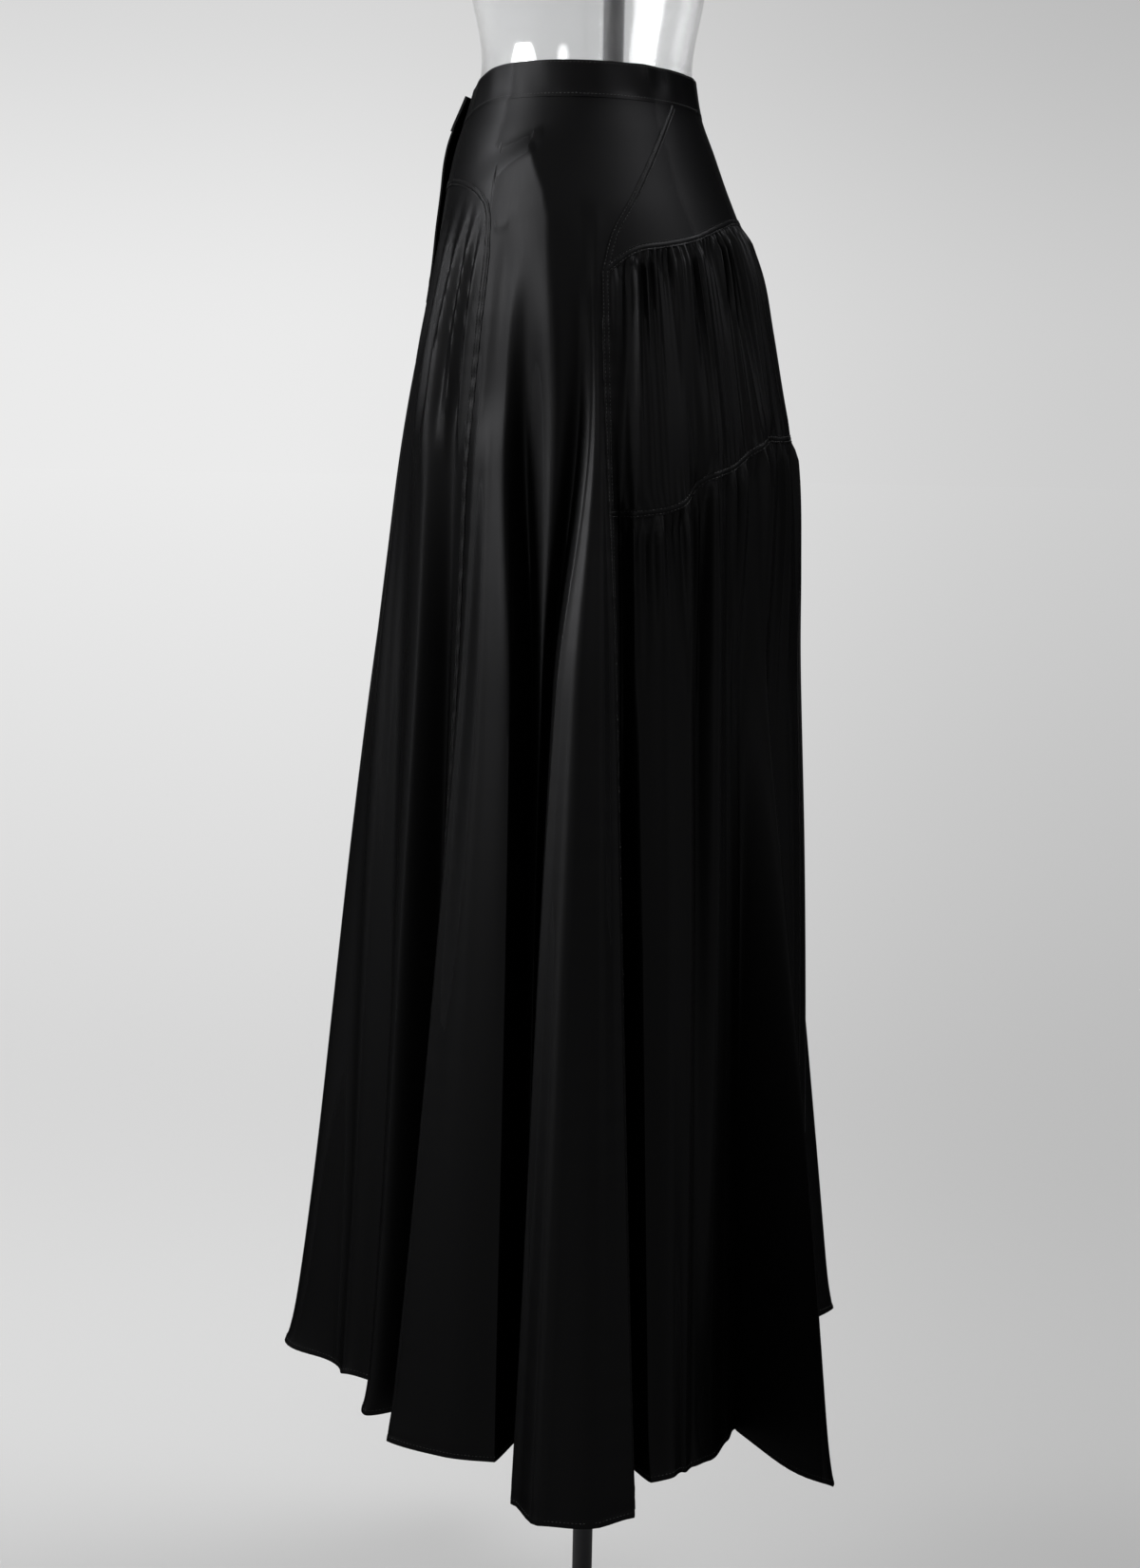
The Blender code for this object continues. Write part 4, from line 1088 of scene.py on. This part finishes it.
def button_place(surface, angle, height):
    """Matrix that lays a button on the cloth at an angle and a height."""
    out = surface_slopes(surface, np.array([angle]), np.array([height]))[2][0]
    centre = surface(np.array([angle]), np.array([height]))[0]
    spread = np.degrees(BUTTON_RADIUS / FRONT_RADIUS)
    turns = np.linspace(0.0, 2.0 * math.pi, 13)
    rim = surface(angle + spread * np.cos(turns), height + BUTTON_RADIUS * np.sin(turns))
    lift = max(float(np.max((rim - centre) @ out)), 0.0)
    across = unit(np.cross(np.array([0.0, 0.0, 1.0]), out))
    place = np.eye(4)
    place[:3] = np.stack(
        [across, np.cross(out, across), out, centre + out * (lift + BUTTON_SEAT)], axis=1
    )
    return Matrix(place.tolist())


def four_hole_button(name):
    """Button with a raised rim and four holes, at the origin, facing +Z."""
    profile = [
        (BUTTON_RADIUS * across, BUTTON_THICKNESS * tall - BUTTON_RIM * lower)
        for across, tall, lower in BUTTON_PROFILE
    ]
    drill = [
        (BUTTON_HOLE_RADIUS * across, BUTTON_THICKNESS * height)
        for across, height in ((0.0, 1.5), (1.0, 1.5), (1.0, -0.5), (0.0, -0.5))
    ]
    made = turned_solid(name, profile, 0.0, 64)
    for x in (-BUTTON_HOLE_OFFSET, BUTTON_HOLE_OFFSET):
        for y in (-BUTTON_HOLE_OFFSET, BUTTON_HOLE_OFFSET):
            cutter = turned_solid("drill", drill, 0.0, 20)
            cutter.data.transform(Matrix.Translation((x, y, 0.0)))
            cut = made.modifiers.new("hole", "BOOLEAN")
            cut.object = cutter
            cut.solver = "EXACT"
            shape = bpy.data.meshes.new_from_object(made.evaluated_get(fresh_view()))
            made.modifiers.remove(cut)
            made.data = shape
            bpy.data.objects.remove(cutter)
    made.data.shade_smooth()
    made.data.set_sharp_from_angle(angle=math.radians(35.0))
    return made


def fresh_view():
    """The scene as it is now, with its modifiers worked out."""
    bpy.context.view_layer.update()
    return bpy.context.evaluated_depsgraph_get()


def button_thread():
    """Crossed rows of thread through the four holes of a button at the origin."""
    hole = BUTTON_HOLE_OFFSET
    top = BUTTON_THICKNESS - BUTTON_RIM + THREAD_RADIUS * 0.6
    reach = 2.0 * math.sqrt(2.0) * hole
    up = np.array([[0.0, 0.0, 1.0]] * 2)
    rows = []
    for shift in (-0.3, 0.0, 0.3):
        for turn in (1.0, -1.0):
            aside = shift * THREAD_RADIUS * 2.0
            ends = np.array([(-hole, -turn * hole + aside, top), (hole, turn * hole + aside, top)])
            rows.append(stitch_row(ends, up, pitch=reach, length=reach * 0.96))
    return rows


def buttons(button, thread):
    """The waistband's button and the placket's four, with their sewing thread."""
    places = [("waistband_button", band_surface, 360.0 + BUTTON_ANGLE, BAND_BUTTON_HEIGHT)]
    for number, height in enumerate(PLACKET_BUTTON_HEIGHTS, start=1):
        places.append((f"placket_button_{number}", placket_surface, BUTTON_ANGLE, height))
    for name, surface, angle, height in places:
        place = button_place(surface, angle, height)
        made = four_hole_button("polished_" + name)
        made.data.transform(place)
        finish_piece(made, button, [name])
        stitches("thread_" + name, button_thread(), thread).data.transform(place)


def form_shell(clear):
    """Clear shell of the torso, open below, with a hole for the pole in its neck.

    It lets the studio's light through, so it throws no shadow.
    """
    neck = np.linspace(FORM_SECTIONS[-1].height, NECK_FOOT, 14)
    body = np.linspace(NECK_FOOT, FORM_SECTIONS[0].height, 76)
    levels = np.concatenate([neck[:-1], body])
    angles = np.linspace(0.0, 360.0, FORM_COLUMNS, endpoint=False)
    inner_top = levels[0] - FORM_THICKNESS
    hole = SPIGOT_RADIUS + SPIGOT_CLEARANCE
    outer = [form_ring(angles, level, 0.0) for level in levels]
    inner = [form_ring(angles, level, FORM_THICKNESS) for level in levels if level < inner_top]
    lid = form_ring(angles, inner_top, FORM_THICKNESS)
    neck_hole = [ring_point(angles, hole, height, 0.0) for height in (inner_top, levels[0])]
    rings = outer + inner[::-1] + [lid] + neck_hole
    faces = []
    for ring in range(len(rings)):
        above = ring * FORM_COLUMNS
        below = (ring + 1) % len(rings) * FORM_COLUMNS
        for i in range(FORM_COLUMNS):
            j = (i + 1) % FORM_COLUMNS
            faces.append((above + i, below + i, below + j, above + j))
    made = mesh_object("clear_torso", np.vstack(rings), faces, sharp=50.0)
    made.visible_shadow = False
    return finish_piece(made, clear, ["form_torso"])


def form_ring(angles, height, inward):
    """Ring of the torso form at a height, drawn in by a wall thickness."""
    return ring_point(angles, oval_radius(FORM_SECTIONS, angles, height) - inward, height)


def stand(steel):
    """Floor plate, pole with its neck flange, and the cap on the neck."""
    neck_top = FORM_SECTIONS[-1].height
    flange_top = neck_top - FORM_THICKNESS - FIT_GAP
    flange_foot = flange_top - FLANGE_THICKNESS
    bore = POLE_RADIUS + FIT_GAP
    cap_foot = neck_top + FIT_GAP
    cap_top = cap_foot + CAP_THICKNESS
    plate_profile = (
        (0.0, BASE_THICKNESS),
        (bore, BASE_THICKNESS),
        (bore, COLLAR_TOP - 0.001),
        (bore + 0.001, COLLAR_TOP),
        (COLLAR_RADIUS - COLLAR_EDGE, COLLAR_TOP),
        (COLLAR_RADIUS - 0.001, COLLAR_TOP - 0.001),
        (COLLAR_RADIUS, COLLAR_TOP - COLLAR_EDGE),
        (COLLAR_RADIUS, BASE_THICKNESS + 0.002),
        (COLLAR_RADIUS + 0.0006, BASE_THICKNESS + 0.0006),
        (COLLAR_RADIUS + 0.002, BASE_THICKNESS),
        (BASE_RADIUS - BASE_EDGE, BASE_THICKNESS),
        (BASE_RADIUS - 0.0006, BASE_THICKNESS - 0.0006),
        (BASE_RADIUS, BASE_THICKNESS - BASE_EDGE),
        (BASE_RADIUS, FINE_EDGE),
        (BASE_RADIUS - FINE_EDGE, 0.0),
        (0.0, 0.0),
    )
    pole_profile = (
        (0.0, neck_top),
        (SPIGOT_RADIUS, neck_top),
        (SPIGOT_RADIUS, flange_top),
        (FLANGE_RADIUS - FINE_EDGE, flange_top),
        (FLANGE_RADIUS, flange_top - FINE_EDGE),
        (FLANGE_RADIUS, flange_foot + FINE_EDGE),
        (FLANGE_RADIUS - FINE_EDGE, flange_foot),
        (POLE_RADIUS + 0.002, flange_foot),
        (POLE_RADIUS, flange_foot - 0.002),
        (POLE_RADIUS, POLE_BOTTOM),
        (0.0, POLE_BOTTOM),
    )
    cap_profile = (
        (0.0, cap_top),
        (CAP_RADIUS - CAP_EDGE, cap_top),
        (CAP_RADIUS - CAP_EDGE * 0.3, cap_top - CAP_EDGE * 0.3),
        (CAP_RADIUS, cap_top - CAP_EDGE),
        (CAP_RADIUS, cap_foot + FINE_EDGE),
        (CAP_RADIUS - FINE_EDGE, cap_foot),
        (0.0, cap_foot),
    )
    for name, profile, centre_y, segments, node in (
        ("steel_plate", plate_profile, 0.0, 128, "form_base"),
        ("steel_pole", pole_profile, 0.0, 64, "form_pole"),
        ("steel_cap", cap_profile, BODY_AXIS_Y, 96, "form_neck_cap"),
    ):
        made = turned_solid(name, profile, centre_y, segments)
        finish_piece(made, steel, [node])


def principled(name, inputs):
    """New material whose shader has these inputs, with its node tree and shader."""
    made = bpy.data.materials.new(name)
    made.use_nodes = True
    tree = made.node_tree
    shader = tree.nodes["Principled BSDF"]
    fill_inputs(tree, shader, inputs)
    return made, tree, shader


def fill_inputs(tree, node, inputs):
    """Sets each input of a node to a value, or links it to another node's output."""
    for name, value in inputs.items():
        if isinstance(value, bpy.types.NodeSocket):
            tree.links.new(value, node.inputs[name])
        else:
            node.inputs[name].default_value = value


def add_node(tree, kind, inputs, operation=None):
    """New node of a kind, with these inputs."""
    node = tree.nodes.new("ShaderNode" + kind)
    if operation:
        node.operation = operation
    fill_inputs(tree, node, inputs)
    return node


def add_bump(tree, shader, height, strength, distance):
    """Bump in a shader's normal, from a node's output."""
    inputs = {"Height": height, "Strength": strength, "Distance": distance}
    bump = add_node(tree, "Bump", inputs)
    tree.links.new(bump.outputs["Normal"], shader.inputs["Normal"])


def satin_material():
    """Black satin: deep black, a soft close gloss, fine uneven threads drawn out in the warp."""
    made, tree, shader = principled(
        "black_satin",
        {
            "Base Color": (0.0072, 0.0072, 0.0074, 1.0),
            "Metallic": 1.0,
            "Specular Tint": (0.10, 0.10, 0.10, 1.0),
        },
    )
    uv = add_node(tree, "UVMap", {})
    uv.uv_map = "metres"
    warp = add_node(tree, "Mapping", {"Vector": uv.outputs["UV"], "Scale": (900.0, 60.0, 1.0)})
    noise = add_node(
        tree, "TexNoise", {"Vector": warp.outputs["Vector"], "Scale": 1.0, "Detail": 3.0}
    )
    add_bump(tree, shader, noise.outputs["Fac"], 0.25, 0.0002)
    rough = add_node(
        tree, "MapRange", {"Value": noise.outputs["Fac"], "To Min": 0.46, "To Max": 0.55}
    )
    tree.links.new(rough.outputs["Result"], shader.inputs["Roughness"])
    return made


def plain_material(name):
    """Material of sewing thread, of the buttons or of the clear torso."""
    return principled(name, PLAIN_MATERIALS[name])[0]


def steel_material():
    """Steel with black satin paint, faintly pebbled."""
    made, tree, shader = principled(
        "black_steel",
        {"Base Color": (0.014, 0.014, 0.015, 1.0), "Roughness": 0.6, "Specular IOR Level": 0.2},
    )
    place = tree.nodes.new("ShaderNodeTexCoord").outputs["Object"]
    noise = add_node(tree, "TexNoise", {"Vector": place, "Scale": 1400.0})
    add_bump(tree, shader, noise.outputs["Fac"], 0.15, 0.0001)
    return made


# Camera, where the photograph was taken from
CAMERA_DISTANCE = 2.0
CAMERA_ANGLE = 95.0
CAMERA_HEIGHT = 0.979
CAMERA_LENS = 59.35
CAMERA_DOWN = 7.65
CAMERA_ROLL = 1.1


def make_camera():
    """Camera at the photograph's distance, height, tilt and roll."""
    turn = math.radians(CAMERA_ANGLE)
    outward = Vector((math.sin(turn), -math.cos(turn), 0.0))
    place = Vector((0.0, BODY_AXIS_Y, CAMERA_HEIGHT)) + outward * CAMERA_DISTANCE
    down = math.radians(CAMERA_DOWN)
    sight = -outward * math.cos(down) - Vector((0.0, 0.0, math.sin(down)))
    right = sight.cross(Vector((0.0, 0.0, 1.0))).normalized()
    up = right.cross(sight)
    lean = math.radians(CAMERA_ROLL)
    rolled_up = up * math.cos(lean) - right * math.sin(lean)
    rolled_right = sight.cross(rolled_up)
    turned = Matrix((rolled_right, rolled_up, -sight)).transposed()
    data = bpy.data.cameras.new("camera")
    data.lens = CAMERA_LENS
    data.sensor_width = 36.0
    camera = bpy.data.objects.new("camera", data)
    camera.matrix_world = Matrix.Translation(place) @ turned.to_4x4()
    bpy.context.scene.collection.objects.link(camera)
    bpy.context.scene.camera = camera


# Studio: pale surroundings that light the scene, and a floor whose brightness is painted in as
# glow; both are brighter on the wearer's front side and a little darker towards the wearer's left,
# the surroundings darker above, and the floor's painted glow darker near the stand as a painted
# shadow
FRONT_SIDE = (0.087, -0.996, 0.0)
SIDE_SPAN = (-0.25, 0.13)
SIDE_SHADES = (0.60, 0.83)
UPPER_SPAN = (0.03, 0.20)
UPPER_SHADES = (1.0, 0.80)
LEFT_SPAN = (-0.3, 0.7)
LEFT_SHADES = (1.0, 0.66)
FLOOR_RADIUS = 60.0
FLOOR_EASE = 2.0
FLOOR_SPAN = (0.0, FLOOR_RADIUS / (FLOOR_RADIUS + FLOOR_EASE))
# Painted glow of the floor near the stand and far off: the lower value is a painted shadow round
# the stand
FLOOR_PAINTED_GLOW = (0.60, 1.0)
FLOOR_MATT = 0.09
# Part of the floor's painted glow taken off for the light that the lamps really give it
FLOOR_LIT = 0.042

# Soft lights: place, target, size, power and spread in degrees
Lamp = namedtuple("Lamp", "name place target size power spread")
LAMPS = (
    Lamp("key", (0.36, -2.47, 2.1), (0.0, -0.05, 1.12), (2.2, 1.2), 26.0, 42.0),
    Lamp("fill", (2.9, -0.9, 2.1), (0.0, 0.0, 1.22), (1.2, 0.9), 0.6, 22.0),
    Lamp("top", (-0.29, 1.70, 3.17), (0.0, 0.06, 1.18), (2.0, 1.4), 24.0, 40.0),
)


def area_light(lamp):
    """Soft rectangular light that faces its target."""
    data = bpy.data.lights.new(lamp.name, "AREA")
    data.shape = "RECTANGLE"
    data.size, data.size_y = lamp.size
    data.energy = lamp.power
    data.spread = math.radians(lamp.spread)
    made = bpy.data.objects.new(lamp.name, data)
    made.location = lamp.place
    aim = Vector(lamp.target) - Vector(lamp.place)
    made.rotation_euler = aim.to_track_quat("-Z", "Y").to_euler()
    bpy.context.scene.collection.objects.link(made)


def map_range(tree, value, span, shades):
    """Node that turns a value over a span into a shade."""
    inputs = {
        "Value": value, "From Min": span[0], "From Max": span[1],
        "To Min": shades[0], "To Max": shades[1],
    }
    return add_node(tree, "MapRange", inputs)


def shade_step(tree, value, span, shades):
    """Shade that a value over a span turns into smoothly."""
    step = map_range(tree, value, span, shades)
    step.interpolation_type = "SMOOTHSTEP"
    return step.outputs["Result"]


def along(tree, vector, direction):
    """Length of a vector along a direction."""
    return add_node(tree, "VectorMath", {0: vector, 1: direction}, "DOT_PRODUCT").outputs["Value"]


def arithmetic(tree, operation, first, second):
    """Result of plain arithmetic."""
    return add_node(tree, "Math", {0: first, 1: second}, operation).outputs["Value"]


def sideways_shade(tree, direction):
    """Shade of the surroundings in a level direction."""
    side = shade_step(tree, along(tree, direction, FRONT_SIDE), SIDE_SPAN, SIDE_SHADES)
    left = shade_step(tree, along(tree, direction, (1.0, 0.0, 0.0)), LEFT_SPAN, LEFT_SHADES)
    return arithmetic(tree, "MULTIPLY", side, left)


def make_world():
    """Pale studio surroundings."""
    world = bpy.data.worlds.new("studio")
    world.use_nodes = True
    tree = world.node_tree
    direction = tree.nodes.new("ShaderNodeTexCoord").outputs["Generated"]
    upper = shade_step(tree, along(tree, direction, (0.0, 0.0, 1.0)), UPPER_SPAN, UPPER_SHADES)
    shade = arithmetic(tree, "MULTIPLY", sideways_shade(tree, direction), upper)
    tree.links.new(shade, tree.nodes["Background"].inputs["Strength"])
    tree.nodes["Background"].inputs["Color"].default_value = (1.0, 1.0, 1.0, 1.0)
    bpy.context.scene.world = world
    bpy.context.scene.view_settings.view_transform = "Standard"


def make_floor():
    """Pale floor whose brightness is painted in as glow, so that it meets the surroundings without
    a line, as a studio's paper sweep does; the glow is darker near the stand as a painted shadow,
    and darker towards the wearer's left.
    """
    floor = turned_solid("floor", ((0.0, -0.0002), (FLOOR_RADIUS, -0.0002)), 0.0, 96)
    floor.data.flip_normals()
    made, tree, shader = principled(
        "pale_floor_painted_glow",
        {
            "Base Color": (FLOOR_MATT, FLOOR_MATT, FLOOR_MATT, 1.0),
            "Roughness": 1.0,
            "Specular IOR Level": 0.0,
            "Emission Color": (1.0, 1.0, 1.0, 1.0),
        },
    )
    place = tree.nodes.new("ShaderNodeTexCoord").outputs["Object"]
    length = add_node(tree, "VectorMath", {0: place}, "LENGTH").outputs["Value"]
    eased = arithmetic(tree, "ADD", length, FLOOR_EASE)
    direction = add_node(tree, "VectorMath", {0: place, 1: eased}, "DIVIDE").outputs["Vector"]
    far = arithmetic(tree, "DIVIDE", length, eased)
    # Painted shadow round the stand: the floor's glow is darker near it
    near_painted_shadow = map_range(tree, far, FLOOR_SPAN, FLOOR_PAINTED_GLOW).outputs["Result"]
    # Floor's painted glow, also darker towards the wearer's left, as the surroundings are
    shade = arithmetic(tree, "MULTIPLY", sideways_shade(tree, direction), near_painted_shadow)
    painted_floor_glow = arithmetic(tree, "SUBTRACT", shade, FLOOR_LIT)
    # Emission paints the floor's brightness in
    tree.links.new(painted_floor_glow, shader.inputs["Emission Strength"])
    floor.data.materials.append(made)


def make_stage():
    """Pale floor, pale surroundings and the studio's soft lights."""
    make_floor()
    make_world()
    for lamp in LAMPS:
        area_light(lamp)


def main():
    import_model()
    make_camera()
    satin = satin_material()
    thread = plain_material("black_thread")
    panels = skirt_panels(satin)
    band = waistband(satin)
    front = placket(satin)
    sewn = sewing(satin, thread)
    buttons(plain_material("black_button"), thread)
    form_shell(plain_material("clear_plastic"))
    stand(steel_material())
    make_stage()
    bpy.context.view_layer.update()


main()
